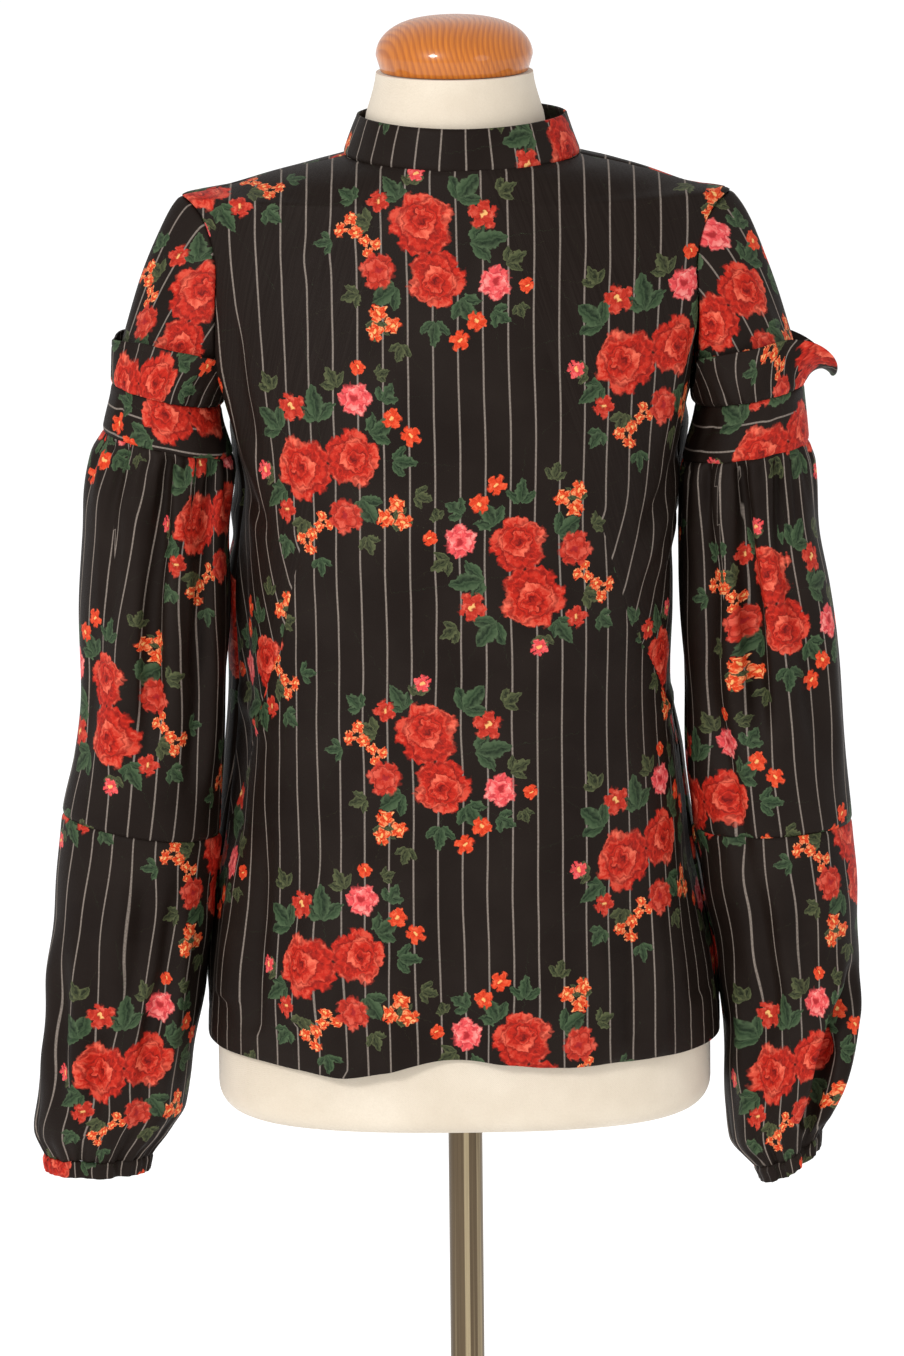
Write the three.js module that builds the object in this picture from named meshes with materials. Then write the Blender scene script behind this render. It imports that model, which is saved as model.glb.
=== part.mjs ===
// A blouse with a standing collar, French darts and frilled balloon sleeves, on a limbless dress form.
// Millimetres, +Z up. The front of the blouse faces -Y. Left and right are those of a viewer in front.
// The origin is the middle of the underside of the stand's base plate.

import * as THREE from 'three';
import { mergeVertices } from 'three/addons/utils/BufferGeometryUtils.js';

// Cloth: one layer is drawn 1.5 mm thick, and a folded band 2 mm
const CLOTH = 1.5;
const FOLDED_CLOTH = 2.0;
const SEAM_GAP = 0.3;

// Heights of the blouse above the floor
const HEM_HEIGHT = 560;
const UNDERARM_HEIGHT = 992;
const SHOULDER_TIP_HEIGHT = 1124.5;
const NECKLINE_HEIGHT = 1151;

// Collar: a folded stand of cloth that leans in, sewn a little to the right of the middle
const COLLAR_SHIFT = 4.5;
const COLLAR_RISE = 25.5;
const COLLAR_LEAN = 9;
const COLLAR_SLIT = 2.4;
const NECKLINE_FRONT_DROP = 3;
const NECKLINE_BACK_RISE = 1;

// Opening at the middle of the back, closed at the collar by a button in a thread loop
const SLIT_WIDTH = 2.4;
const SLIT_LENGTH = 118;
const BUTTON_RADIUS = 4.6;
const BUTTON_THICKNESS = 1.8;
const SHANK_RADIUS = 1.3;
const SHANK_LENGTH = 2.4;
const BUTTON_OFFSET = 5.5;
const LOOP_WIRE_RADIUS = 0.6;
const LOOP_HALF_WIDTH = 2.4;
const LOOP_REACH = 8.5;

// Armhole: an upright loop, widest halfway up, with an equal number of steps in front and at the back
const ARMHOLE_STEPS = 10;
const ARMHOLE_HALF_DEPTH = 47;

// Grid of the cloth
const PANEL_COLUMNS = 18;
const SLEEVE_COLUMNS = 2 * ARMHOLE_STEPS;
const UPPER_SLEEVE_ROWS = 4;
const RUFFLE_COLUMNS = 30;
const RUFFLE_ROWS = [0, 0.375, 0.75, 1];
const BODY_ROWS_BELOW_ARMHOLE = [HEM_HEIGHT, 590, 630, 680, 735, 800, 860, 917, 955];
const BODY_ROWS_ABOVE_TIP = [1129.5, 1134, 1138.5, 1144, NECKLINE_HEIGHT];

// Frill above the arm band
const RUFFLE_HEIGHT = 33;
const RUFFLE_LEAN = 5;
const RUFFLE_CURL_POWER = 0.8;
const RUFFLE_WAVES = 8;
const RUFFLE_WAVE_DEPTH = 3.2;
const RUFFLE_SHORT_OF_ARMHOLE = 5.5;
const RUFFLE_LEAST_HEIGHT = 1.5;

// Dress form and stand
const FORM_BOTTOM = 511;
const FORM_EDGE_RADIUS = 16;
const FORM_NECK_TOP = 1204;
const FORM_COLUMNS = 40;
const SHOULDER_CLEARANCE = 2.0;
const CAP_RADIUS = 51.5;
const CAP_FOOT_RADIUS = 48;
const CAP_HEIGHT = 36;
const POLE_RADIUS = 11.5;
const PLATE_RADIUS = 160;
const PLATE_THICKNESS = 6;
const PLATE_EDGE = 2;
const HUB_RADIUS = 22;
const HUB_HEIGHT = 34;
const SOCKET_FLOOR = 8;
const ROUND_SEGMENTS = 40;

// Horizontal sections of the worn body: half width, and depth in front of and behind the middle
const BODY_SECTIONS = [
  { height: 560, half: 172, front: 120, back: 114, power: 2.5 },
  { height: 600, half: 168, front: 118, back: 111, power: 2.5 },
  { height: 644, half: 159, front: 116, back: 107, power: 2.4 },
  { height: 692, half: 150.5, front: 115, back: 102, power: 2.4 },
  { height: 743, half: 144, front: 114, back: 97, power: 2.4 },
  { height: 800, half: 139.5, front: 115, back: 94, power: 2.4 },
  { height: 860, half: 141.5, front: 119, back: 95, power: 2.4 },
  { height: 917, half: 140.5, front: 121, back: 98, power: 2.4 },
  { height: 944, half: 144.5, front: 119, back: 101, power: 2.4 },
  { height: 965, half: 147, front: 117, back: 103, power: 2.4 },
  { height: 992, half: 154, front: 113, back: 104, power: 2.4 },
  { height: 1020, half: 163, front: 107, back: 104, power: 2.4 },
  { height: 1053, half: 171.5, front: 99, back: 101, power: 2.35 },
  { height: 1085, half: 176.5, front: 91, back: 95, power: 2.1 },
  { height: 1105, half: 179, front: 86, back: 90, power: 1.9 },
  { height: 1124.5, half: 180, front: 81, back: 84, power: 1.7 },
  { height: 1129.5, half: 155, front: 79, back: 81, power: 1.75 },
  { height: 1138.5, half: 125, front: 76, back: 76, power: 1.85 },
  { height: 1144, half: 104, front: 74.5, back: 72, power: 1.9 },
  { height: 1151, half: 78, front: 73, back: 70, power: 2 },
];

// Soft waves of the body: a ridge stands out and a trough goes in. Angles turn from the front to the right.
const BODY_FOLDS = [
  { angle: -34, reach: 13, depth: 5, low: 500, high: 760 },
  { angle: -3, reach: 15, depth: -5, low: 500, high: 720 },
  { angle: 27, reach: 11, depth: 2.5, low: 520, high: 700 },
  { angle: 47, reach: 10, depth: -2.5, low: 520, high: 690 },
  { angle: -101, reach: 20, depth: 18, low: 560, high: 945 },
  { angle: -104, reach: 16, depth: 9, low: 890, high: 988 },
  { angle: 104, reach: 16, depth: 10, low: 890, high: 988 },
  { angle: 101, reach: 18, depth: 7, low: 560, high: 800 },
  { angle: 148, reach: 13, depth: 4, low: 500, high: 740 },
  { angle: 176, reach: 15, depth: -3, low: 500, high: 720 },
  { angle: -152, reach: 13, depth: 3.5, low: 500, high: 730 },
];

// The hem's own height, raised or lowered round the body
const HEM_WAVES = [
  { angle: -34, reach: 14, rise: -5 },
  { angle: -3, reach: 17, rise: 6 },
  { angle: 148, reach: 16, rise: -3 },
];

// Slanted sections of each sleeve below the upper sleeve. Centre and half width are measured sideways,
// depth and forward run front to back, and tilt in degrees lifts the outer side.
const SLEEVE_SECTIONS = {
  left: [
    { height: 994, centre: 192.2, half: 37, depth: 43, forward: 4, tilt: 12.5 },
    { height: 961, centre: 192, half: 44, depth: 45, forward: 5, tilt: 11.5 },
    { height: 943, centre: 195.5, half: 46.5, depth: 47, forward: 5, tilt: 11 },
    { height: 911, centre: 200, half: 48.5, depth: 49, forward: 6, tilt: 10 },
    { height: 851, centre: 203, half: 50, depth: 49, forward: 8, tilt: 9 },
    { height: 790, centre: 204.5, half: 48.5, depth: 48, forward: 9, tilt: 9 },
    { height: 745, centre: 208.5, half: 50, depth: 49, forward: 10, tilt: 8.5 },
    { height: 704, centre: 214, half: 53, depth: 50, forward: 10, tilt: 8.5 },
    { height: 654, centre: 219.5, half: 53.5, depth: 49, forward: 10, tilt: 7 },
    { height: 600, centre: 226, half: 53, depth: 47, forward: 10, tilt: 5 },
    { height: 550, centre: 233, half: 50.5, depth: 45, forward: 9, tilt: 3 },
    { height: 510, centre: 238, half: 51, depth: 42, forward: 8, tilt: 1 },
    { height: 492, centre: 244, half: 47, depth: 38, forward: 8, tilt: 0 },
    { height: 474, centre: 248, half: 38, depth: 30, forward: 8, tilt: 0 },
    { height: 464, centre: 248.5, half: 36.5, depth: 28, forward: 8, tilt: 0 },
  ],
  right: [
    { height: 990, centre: 192.7, half: 36.8, depth: 43, forward: 4, tilt: 10 },
    { height: 952, centre: 190, half: 42.5, depth: 45, forward: 5, tilt: 8 },
    { height: 932, centre: 190.5, half: 44, depth: 47, forward: 5, tilt: 8 },
    { height: 905, centre: 191, half: 46, depth: 49, forward: 6, tilt: 7 },
    { height: 856, centre: 196, half: 49.5, depth: 49, forward: 8, tilt: 6 },
    { height: 798, centre: 200.5, half: 52, depth: 48, forward: 9, tilt: 4 },
    { height: 745, centre: 203, half: 53.5, depth: 49, forward: 10, tilt: 2 },
    { height: 700, centre: 207, half: 53, depth: 50, forward: 10, tilt: 2 },
    { height: 650, centre: 213.5, half: 51, depth: 48, forward: 10, tilt: 2 },
    { height: 606, centre: 217, half: 48, depth: 47, forward: 10, tilt: 3 },
    { height: 560, centre: 219.5, half: 44.5, depth: 46, forward: 9, tilt: 6 },
    { height: 524, centre: 218, half: 44.5, depth: 45, forward: 8, tilt: 12 },
    { height: 497, centre: 216, half: 41.5, depth: 42, forward: 8, tilt: 20 },
    { height: 475, centre: 217.5, half: 27.5, depth: 38, forward: 8, tilt: 28 },
    { height: 465, centre: 219, half: 25, depth: 36, forward: 8, tilt: 29 },
  ],
};

// Where the sleeve is seamed, from the band down to the elastic casing of the cuff
const SLEEVE_SEAMS = {
  left: { bandTop: 994, bandBottom: 961, balloonEnd: 704, cuffTop: 474, cuffBottom: 464 },
  right: { bandTop: 990, bandBottom: 952, balloonEnd: 700, cuffTop: 475, cuffBottom: 465 },
};
const BALLOON_ROWS = [0, 0.07, 0.2, 0.42, 0.64, 0.84, 1];
const LOWER_ROWS = [0, 0.22, 0.44, 0.66, 0.84, 1];

// Largest folds of the sleeves. Angle 0 is the outer side, 90 the front, 180 the inner side and 270 the back.
const SLEEVE_FOLDS = {
  left: [
    { angle: 92, reach: 15, depth: -6, low: 760, high: 975 },
    { angle: 55, reach: 14, depth: -3, low: 830, high: 975 },
    { angle: 132, reach: 14, depth: -5, low: 800, high: 975 },
    { angle: 235, reach: 16, depth: -5, low: 790, high: 975 },
    { angle: 300, reach: 16, depth: -5, low: 770, high: 975 },
    { angle: 75, reach: 16, depth: -3, low: 420, high: 640 },
    { angle: 118, reach: 14, depth: -4, low: 420, high: 620 },
    { angle: 250, reach: 16, depth: -4, low: 420, high: 640 },
  ],
  right: [
    { angle: 97, reach: 14, depth: -6, low: 750, high: 970 },
    { angle: 62, reach: 14, depth: -4, low: 820, high: 970 },
    { angle: 130, reach: 14, depth: -3, low: 820, high: 970 },
    { angle: 240, reach: 16, depth: -5, low: 790, high: 970 },
    { angle: 298, reach: 16, depth: -5, low: 770, high: 970 },
    { angle: 60, reach: 15, depth: -7, low: 430, high: 600 },
    { angle: 112, reach: 14, depth: -3, low: 430, high: 620 },
    { angle: 255, reach: 18, depth: -4, low: 430, high: 640 },
  ],
};

// How far the frill turns over at its edge, in degrees, and how much longer it is there:
// the left one is a little crushed at its outer side, and the right one flops outward
const RUFFLE_CURLS = {
  left: [{ angle: 0, reach: 60, curl: 8, longer: -6 }],
  right: [{ angle: -8, reach: 52, curl: 165, longer: -9 }],
};

// Horizontal sections of the form up to its shoulders
const FORM_SECTIONS = [
  { height: 511, half: 165.5, front: 111, back: 104, power: 2.7 },
  { height: 552, half: 165.5, front: 110, back: 104, power: 2.6 },
  { height: 600, half: 160.5, front: 108, back: 101, power: 2.6 },
  { height: 650, half: 151, front: 105, back: 97, power: 2.5 },
  { height: 700, half: 140, front: 102, back: 92, power: 2.5 },
  { height: 750, half: 130, front: 101, back: 88, power: 2.5 },
  { height: 800, half: 125, front: 102, back: 86, power: 2.4 },
  { height: 860, half: 127, front: 107, back: 87, power: 2.4 },
  { height: 917, half: 132, front: 111, back: 91, power: 2.4 },
  { height: 960, half: 138, front: 108, back: 95, power: 2.4 },
  { height: 1000, half: 148, front: 102, back: 96, power: 2.4 },
  { height: 1040, half: 157, front: 94, back: 94, power: 2.3 },
  { height: 1080, half: 165, front: 84, back: 87, power: 2 },
  { height: 1103, half: 168, front: 77, back: 80, power: 1.85 },
];

// The form's shoulder follows the cloth that it carries, a fixed clearance under it, up to the neck's foot
const FORM_SHOULDER = [
  { height: 1118, half: 165, front: 71, back: 73, power: 1.75 },
  { height: 1129.5 - SHOULDER_CLEARANCE, half: 154.5, front: 68, back: 70, power: 1.75 },
  { height: 1134 - SHOULDER_CLEARANCE, half: 138.5, front: 67, back: 69, power: 1.8 },
  { height: 1138.5 - SHOULDER_CLEARANCE, half: 122.5, front: 66, back: 67, power: 1.85 },
  { height: 1144 - SHOULDER_CLEARANCE, half: 100, front: 65, back: 65, power: 1.9 },
  { height: 1151 - SHOULDER_CLEARANCE, half: 73, front: 64, back: 62, power: 2 },
];
const FORM_NECK = [
  { height: 1152, half: 65, front: 61.5, back: 61, power: 2 },
  { height: 1160, half: 61, front: 59.5, back: 58, power: 2 },
  { height: 1176, half: 58.5, front: 57.5, back: 55, power: 2 },
  { height: 1186, half: 55.5, front: 55, back: 54, power: 2 },
  { height: 1195, half: 53, front: 52.8, back: 52.8, power: 2 },
  { height: FORM_NECK_TOP, half: 51.5, front: 51.5, back: 51.5, power: 2 },
];

const MATERIALS = {
  printedCloth: { color: 0x1d1917, roughness: 0.72, metalness: 0 },
  button: { color: 0x171514, roughness: 0.35, metalness: 0 },
  jersey: { color: 0xe9e2d6, roughness: 0.85, metalness: 0 },
  varnishedWood: { color: 0xb8651f, roughness: 0.2, metalness: 0 },
  brushedSteel: { color: 0x77746f, roughness: 0.35, metalness: 0.9 },
  paintedSteel: { color: 0x6d6a66, roughness: 0.4, metalness: 0.8 },
};

const radians = THREE.MathUtils.degToRad;

// A smooth bell, 1 in the middle and 0 at one whole reach away
function bell(distance) {
  const part = Math.min(Math.abs(distance), 1);
  return (1 - part * part) ** 2;
}

// A bell that keeps its full height through the middle half
function plateau(distance) {
  const part = Math.min(Math.abs(distance), 1);
  return part < 0.5 ? 1 : bell(2 * part - 1);
}

function turnBetween(angle, middle) {
  return ((angle - middle + 540) % 360 + 360) % 360 - 180;
}

// Slope of one column at a row, kept between its neighbours' slopes so that the curve never overshoots
function columnSlope(rows, index, column) {
  if (index === 0 || index === rows.length - 1) return 0;
  const slopeFrom = (start) => (
    (rows[start + 1][column] - rows[start][column]) / (rows[start + 1].height - rows[start].height));
  const below = slopeFrom(index - 1);
  const above = slopeFrom(index);
  return below * above <= 0 ? 0 : (2 * below * above) / (below + above);
}

// Smooth value of a named column of a table at any height
function valueAt(rows, height, column) {
  const rising = rows[0].height < rows[rows.length - 1].height ? rows : [...rows].reverse();
  const last = rising.length - 1;
  if (height <= rising[0].height) return rising[0][column];
  if (height >= rising[last].height) return rising[last][column];
  const index = rising.findIndex((row) => row.height > height) - 1;
  const step = rising[index + 1].height - rising[index].height;
  const part = (height - rising[index].height) / step;
  const startSlope = columnSlope(rising, index, column) * step;
  const endSlope = columnSlope(rising, index + 1, column) * step;
  const start = rising[index][column];
  const end = rising[index + 1][column];
  return start + part * startSlope
    + part ** 2 * (3 * (end - start) - 2 * startSlope - endSlope)
    + part ** 3 * (2 * (start - end) + startSlope + endSlope);
}

// How far the folds of a table move the cloth out, at an angle and a height
function foldLift(folds, angle, height) {
  return folds.reduce((lift, fold) => {
    const middle = (fold.low + fold.high) / 2;
    const halfLength = (fold.high - fold.low) / 2;
    const along = plateau((height - middle) / halfLength);
    return lift + fold.depth * along * bell(turnBetween(angle, fold.angle) / fold.reach);
  }, 0);
}

// Radius of a rounded section whose quadrants have their own half width and depth
function sectionRadius(section, angle) {
  const sideways = Math.abs(Math.sin(radians(angle))) / section.half;
  const depth = Math.cos(radians(angle)) > 0 ? section.front : section.back;
  const lengthways = Math.abs(Math.cos(radians(angle))) / depth;
  return (sideways ** section.power + lengthways ** section.power) ** (-1 / section.power);
}

function sectionAt(rows, height) {
  return {
    half: valueAt(rows, height, 'half'),
    front: valueAt(rows, height, 'front'),
    back: valueAt(rows, height, 'back'),
    power: valueAt(rows, height, 'power'),
  };
}

// Share of the collar's sideways shift that a height of the body has
function collarShiftAt(height) {
  return COLLAR_SHIFT * THREE.MathUtils.smoothstep(height, SHOULDER_TIP_HEIGHT, NECKLINE_HEIGHT);
}

function necklineHeight(angle) {
  const front = Math.max(Math.cos(radians(angle)), 0) ** 2;
  const back = Math.max(-Math.cos(radians(angle)), 0) ** 2;
  return NECKLINE_HEIGHT - NECKLINE_FRONT_DROP * front + NECKLINE_BACK_RISE * back;
}

function hemRise(angle) {
  return HEM_WAVES.reduce((rise, wave) => (
    rise + wave.rise * bell(turnBetween(angle, wave.angle) / (2 * wave.reach))), 0);
}

// Outer face of the worn body at an angle, 0 in front and 90 at the right, and a nominal height
function bodyPoint(angle, height) {
  const radius = sectionRadius(sectionAt(BODY_SECTIONS, height), angle) + foldLift(BODY_FOLDS, angle, height);
  const aboveTip = Math.max(height - SHOULDER_TIP_HEIGHT, 0) / (NECKLINE_HEIGHT - SHOULDER_TIP_HEIGHT);
  const nearHem = 1 - THREE.MathUtils.smoothstep(height, HEM_HEIGHT, HEM_HEIGHT + 90);
  return new THREE.Vector3(
    collarShiftAt(height) + radius * Math.sin(radians(angle)),
    -radius * Math.cos(radians(angle)),
    height + aboveTip * (necklineHeight(angle) - NECKLINE_HEIGHT) + nearHem * hemRise(angle),
  );
}

// Height and half depth of the armhole at a turn: 0 at the shoulder tip and 180 under the arm
function armholeHeight(turn) {
  const middle = (SHOULDER_TIP_HEIGHT + UNDERARM_HEIGHT) / 2;
  return middle + (SHOULDER_TIP_HEIGHT - middle) * Math.cos(radians(turn));
}

// Body angle at which the armhole cuts the front or the back at a turn
function armholeAngle(turn, face) {
  const section = sectionAt(BODY_SECTIONS, armholeHeight(turn));
  const reach = ARMHOLE_HALF_DEPTH * Math.abs(Math.sin(radians(turn)));
  const depth = face === 'front' ? section.front : section.back;
  const sideways = section.half * (1 - (reach / depth) ** section.power) ** (1 / section.power);
  return THREE.MathUtils.radToDeg(Math.atan2(sideways, reach));
}

// Unit normal of a surface given by two parameters, from small steps along both
function normalAt(surface, across, along, stepAcross, stepAlong) {
  const acrossStep = surface(across + stepAcross, along).sub(surface(across - stepAcross, along));
  const alongStep = surface(across, along + stepAlong).sub(surface(across, along - stepAlong));
  return acrossStep.cross(alongStep).normalize();
}

// Closed wall of cloth over a grid of outer points. Each is { point, normal }, and the inner face lies one
// thickness behind it. Columns wrap round where closed is true, and skipped cells are left open.
function clothWall({ rows, columns, closed, at, thickness, skip = () => false }) {
  const pointColumns = closed ? columns : columns + 1;
  const positions = [];
  for (let row = 0; row <= rows; row += 1) {
    for (let column = 0; column < pointColumns; column += 1) {
      const { point, normal } = at(column, row);
      const inner = point.clone().addScaledVector(normal, -thickness);
      positions.push(point.x, point.y, point.z, inner.x, inner.y, inner.z);
    }
  }
  const onSurface = (column) => (closed ? (column + columns) % columns : column);
  const outerAt = (column, row) => 2 * (row * pointColumns + onSurface(column));
  const inside = (column, row) => row >= 0 && row < rows && (closed || (column >= 0 && column < columns));
  const present = (column, row) => inside(column, row) && !skip(onSurface(column), row);
  const triangles = [];
  const quad = (a, b, c, d) => triangles.push(a, b, c, a, c, d);
  for (let row = 0; row < rows; row += 1) {
    for (let column = 0; column < columns; column += 1) {
      if (!present(column, row)) continue;
      const corners = [
        outerAt(column, row), outerAt(column + 1, row),
        outerAt(column + 1, row + 1), outerAt(column, row + 1),
      ];
      quad(...corners);
      quad(...corners.map((corner) => corner + 1).reverse());
      const neighbours = [[column, row - 1], [column + 1, row], [column, row + 1], [column - 1, row]];
      neighbours.forEach(([nextColumn, nextRow], side) => {
        if (present(nextColumn, nextRow)) return;
        const start = corners[side];
        const end = corners[(side + 1) % 4];
        quad(start, start + 1, end + 1, end);
      });
    }
  }
  return closedGeometry(positions, triangles);
}

// Indexed geometry with its faces turned outward and its unused points dropped
function closedGeometry(positions, triangles) {
  const used = [...new Set(triangles)].sort((a, b) => a - b);
  const place = new Map(used.map((old, fresh) => [old, fresh]));
  const points = used.flatMap((old) => positions.slice(3 * old, 3 * old + 3));
  const index = triangles.map((old) => place.get(old));
  const corner = (number) => new THREE.Vector3().fromArray(points, 3 * number);
  let volume = 0;
  for (let start = 0; start < index.length; start += 3) {
    const [a, b, c] = [corner(index[start]), corner(index[start + 1]), corner(index[start + 2])];
    volume += a.dot(b.cross(c));
  }
  if (volume < 0) index.reverse();
  const geometry = new THREE.BufferGeometry();
  geometry.setAttribute('position', new THREE.Float32BufferAttribute(points, 3));
  geometry.setIndex(index);
  geometry.computeVertexNormals();
  return geometry;
}

// Nominal heights of the panel rows, and the armhole turn of the rows that end on it
function panelRows() {
  const below = BODY_ROWS_BELOW_ARMHOLE.map((height) => ({ height, turn: null }));
  const beside = Array.from({ length: ARMHOLE_STEPS + 1 }, (_, step) => {
    const turn = 180 - (step * 180) / ARMHOLE_STEPS;
    return { height: armholeHeight(turn), turn };
  });
  const above = BODY_ROWS_ABOVE_TIP.map((height) => ({ height, turn: null }));
  return [...below, ...beside, ...above];
}

// Angle of the panel's edge, half a seam short of the side, the shoulder or the armhole
function panelEdgeAngle(row, face) {
  const sideAngle = 90;
  const section = sectionAt(BODY_SECTIONS, row.height);
  const halfSeam = THREE.MathUtils.radToDeg(SEAM_GAP / 2 / section.half);
  if (row.turn === null || row.turn === 0 || row.turn === 180) return sideAngle - halfSeam;
  return armholeAngle(row.turn, face);
}

const PANEL_ROWS = panelRows();

// Front or back as one panel from side seam to side seam. The back has a slit down from the neck.
function bodyPanel(face) {
  const towards = face === 'front' ? 0 : 180;
  const at = (column, row) => {
    const { height } = PANEL_ROWS[row];
    const edge = panelEdgeAngle(PANEL_ROWS[row], face);
    const angle = towards + slitAngle(face, column, height, edge);
    const point = bodyPoint(angle, height);
    return { point, normal: normalAt(bodyPoint, angle, height, 0.05, 0.05) };
  };
  const slitBottom = NECKLINE_HEIGHT - SLIT_LENGTH;
  const skip = (column, row) => face === 'back' && column === PANEL_COLUMNS / 2
    && PANEL_ROWS[row].height >= slitBottom;
  const columns = face === 'front' ? PANEL_COLUMNS : PANEL_COLUMNS + 1;
  return clothWall({ rows: PANEL_ROWS.length - 1, columns, closed: false, at, thickness: CLOTH, skip });
}

// Angle of a panel column from the panel's middle. The back's two middle columns stay the slit's width apart.
function slitAngle(face, column, height, edge) {
  if (face === 'front') return edge * (2 * column / PANEL_COLUMNS - 1);
  const halfCount = PANEL_COLUMNS / 2;
  const halfSlit = THREE.MathUtils.radToDeg(SLIT_WIDTH / 2 / valueAt(BODY_SECTIONS, height, 'back'));
  if (column <= halfCount) return -halfSlit - (edge - halfSlit) * (1 - column / halfCount);
  return halfSlit + (edge - halfSlit) * ((column - halfCount - 1) / halfCount);
}

// Outer face of the collar at an angle and a rise above the neckline
function collarPoint(angle, rise) {
  const section = sectionAt(BODY_SECTIONS, NECKLINE_HEIGHT);
  const leaned = sectionRadius(section, angle) - (COLLAR_LEAN * rise) / COLLAR_RISE;
  return new THREE.Vector3(
    COLLAR_SHIFT + leaned * Math.sin(radians(angle)),
    -leaned * Math.cos(radians(angle)),
    necklineHeight(angle) + SEAM_GAP + rise,
  );
}

// The collar's columns stand on the columns of the panels: half the back, the front and the other half
function collarAngle(column) {
  const depth = valueAt(BODY_SECTIONS, NECKLINE_HEIGHT, 'back');
  const halfSlit = THREE.MathUtils.radToDeg(COLLAR_SLIT / 2 / depth);
  const quarter = PANEL_COLUMNS / 2;
  const fromMiddle = column - PANEL_COLUMNS;
  const inFront = Math.abs(fromMiddle) <= quarter;
  const beyond = (Math.abs(fromMiddle) - quarter) / quarter;
  const angle = inFront ? (90 * Math.abs(fromMiddle)) / quarter : 90 + beyond * (90 - halfSlit);
  return Math.sign(fromMiddle) * angle;
}

function collar() {
  const at = (column, row) => {
    const angle = collarAngle(column);
    const rise = COLLAR_RISE * row;
    const normal = normalAt(collarPoint, angle, rise, 0.5, 0.5).setZ(0).normalize();
    return { point: collarPoint(angle, rise), normal };
  };
  return clothWall({ rows: 1, columns: 2 * PANEL_COLUMNS, closed: false, at, thickness: FOLDED_CLOTH });
}

// Frame on the outer face of the collar at the middle of the back: across, up the slope, and out
function collarBackFrame() {
  const rise = COLLAR_RISE * 0.55;
  const origin = collarPoint(180, rise);
  const up = collarPoint(180, rise + 1).sub(origin).normalize();
  const across = new THREE.Vector3(1, 0, 0);
  const out = up.clone().cross(across).negate();
  return { origin, across, up, out: out.y > 0 ? out : out.negate() };
}

function placeInFrame(frame, across, up, out) {
  return frame.origin.clone().addScaledVector(frame.across, across).addScaledVector(frame.up, up)
    .addScaledVector(frame.out, out);
}

// Round button on a shank, turned about the outward direction of the collar's back
function neckButton() {
  const frame = collarBackFrame();
  const top = SHANK_LENGTH + BUTTON_THICKNESS;
  const profile = [
    [0, 0], [SHANK_RADIUS, 0], [SHANK_RADIUS, SHANK_LENGTH], [BUTTON_RADIUS - 0.5, SHANK_LENGTH],
    [BUTTON_RADIUS, SHANK_LENGTH + 0.5], [BUTTON_RADIUS, top - 0.5],
    [BUTTON_RADIUS - 0.7, top], [0, top - 0.3],
  ].map(([radius, along]) => new THREE.Vector2(radius, along));
  const geometry = new THREE.LatheGeometry(profile, 20);
  const outward = new THREE.Quaternion().setFromUnitVectors(new THREE.Vector3(0, 1, 0), frame.out);
  geometry.applyQuaternion(outward);
  const seat = placeInFrame(frame, BUTTON_OFFSET, 0, SEAM_GAP + 0.1);
  return geometry.translate(seat.x, seat.y, seat.z);
}

// Thread loop, sewn on the far side of the opening and passed round the button's shank
function neckLoop() {
  const frame = collarBackFrame();
  const arcSteps = 6;
  const route = [[-LOOP_REACH + BUTTON_OFFSET, LOOP_HALF_WIDTH]];
  for (let step = 0; step <= arcSteps; step += 1) {
    const turn = Math.PI / 2 - (Math.PI * step) / arcSteps;
    route.push([BUTTON_OFFSET + LOOP_HALF_WIDTH * Math.cos(turn), LOOP_HALF_WIDTH * Math.sin(turn)]);
  }
  route.push([-LOOP_REACH + BUTTON_OFFSET, -LOOP_HALF_WIDTH]);
  const lift = SEAM_GAP + LOOP_WIRE_RADIUS + 0.1;
  const path = new THREE.CatmullRomCurve3(route.map(([across, up]) => placeInFrame(frame, across, up, lift)));
  const section = new THREE.Shape().absarc(0, 0, LOOP_WIRE_RADIUS, 0, 2 * Math.PI);
  return new THREE.ExtrudeGeometry(section, { steps: 18, extrudePath: path, curveSegments: 4 });
}

// Outer face of a sleeve below its upper part, at a turn round the arm and a nominal height
function sleevePoint(side, turn, height) {
  const rows = SLEEVE_SECTIONS[side];
  const outward = side === 'left' ? -1 : 1;
  const tilt = radians(valueAt(rows, height, 'tilt'));
  const lift = foldLift(SLEEVE_FOLDS[side], turn, height);
  const across = (valueAt(rows, height, 'half') + lift) * Math.cos(radians(turn));
  const forward = (valueAt(rows, height, 'depth') + lift) * Math.sin(radians(turn));
  return new THREE.Vector3(
    outward * (valueAt(rows, height, 'centre') + across * Math.cos(tilt)),
    -valueAt(rows, height, 'forward') - forward,
    height + across * Math.sin(tilt),
  );
}

// Seam of the armhole at a turn, moved outward by the seam's gap
function armholePoint(side, turn) {
  const outward = side === 'left' ? -1 : 1;
  const face = turn <= 180 ? 'front' : 'back';
  const folded = turn <= 180 ? turn : 360 - turn;
  const onTop = folded < 1 || folded > 179;
  const bodyAngle = onTop ? 90 : armholeAngle(folded, face);
  const angle = face === 'front' ? bodyAngle : 180 - bodyAngle;
  const point = bodyPoint(outward * angle, armholeHeight(folded));
  return point.add(new THREE.Vector3(outward * SEAM_GAP, 0, onTop && folded > 90 ? -SEAM_GAP : 0));
}

// Ends of one line of the upper sleeve: on the armhole and, a seam's gap short of it, on the band
function upperSleeveEnds(side, turn) {
  const start = armholePoint(side, turn);
  const end = sleevePoint(side, turn, SLEEVE_SEAMS[side].bandTop);
  end.z += SEAM_GAP;
  return { start, end, span: start.distanceTo(end) };
}

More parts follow.
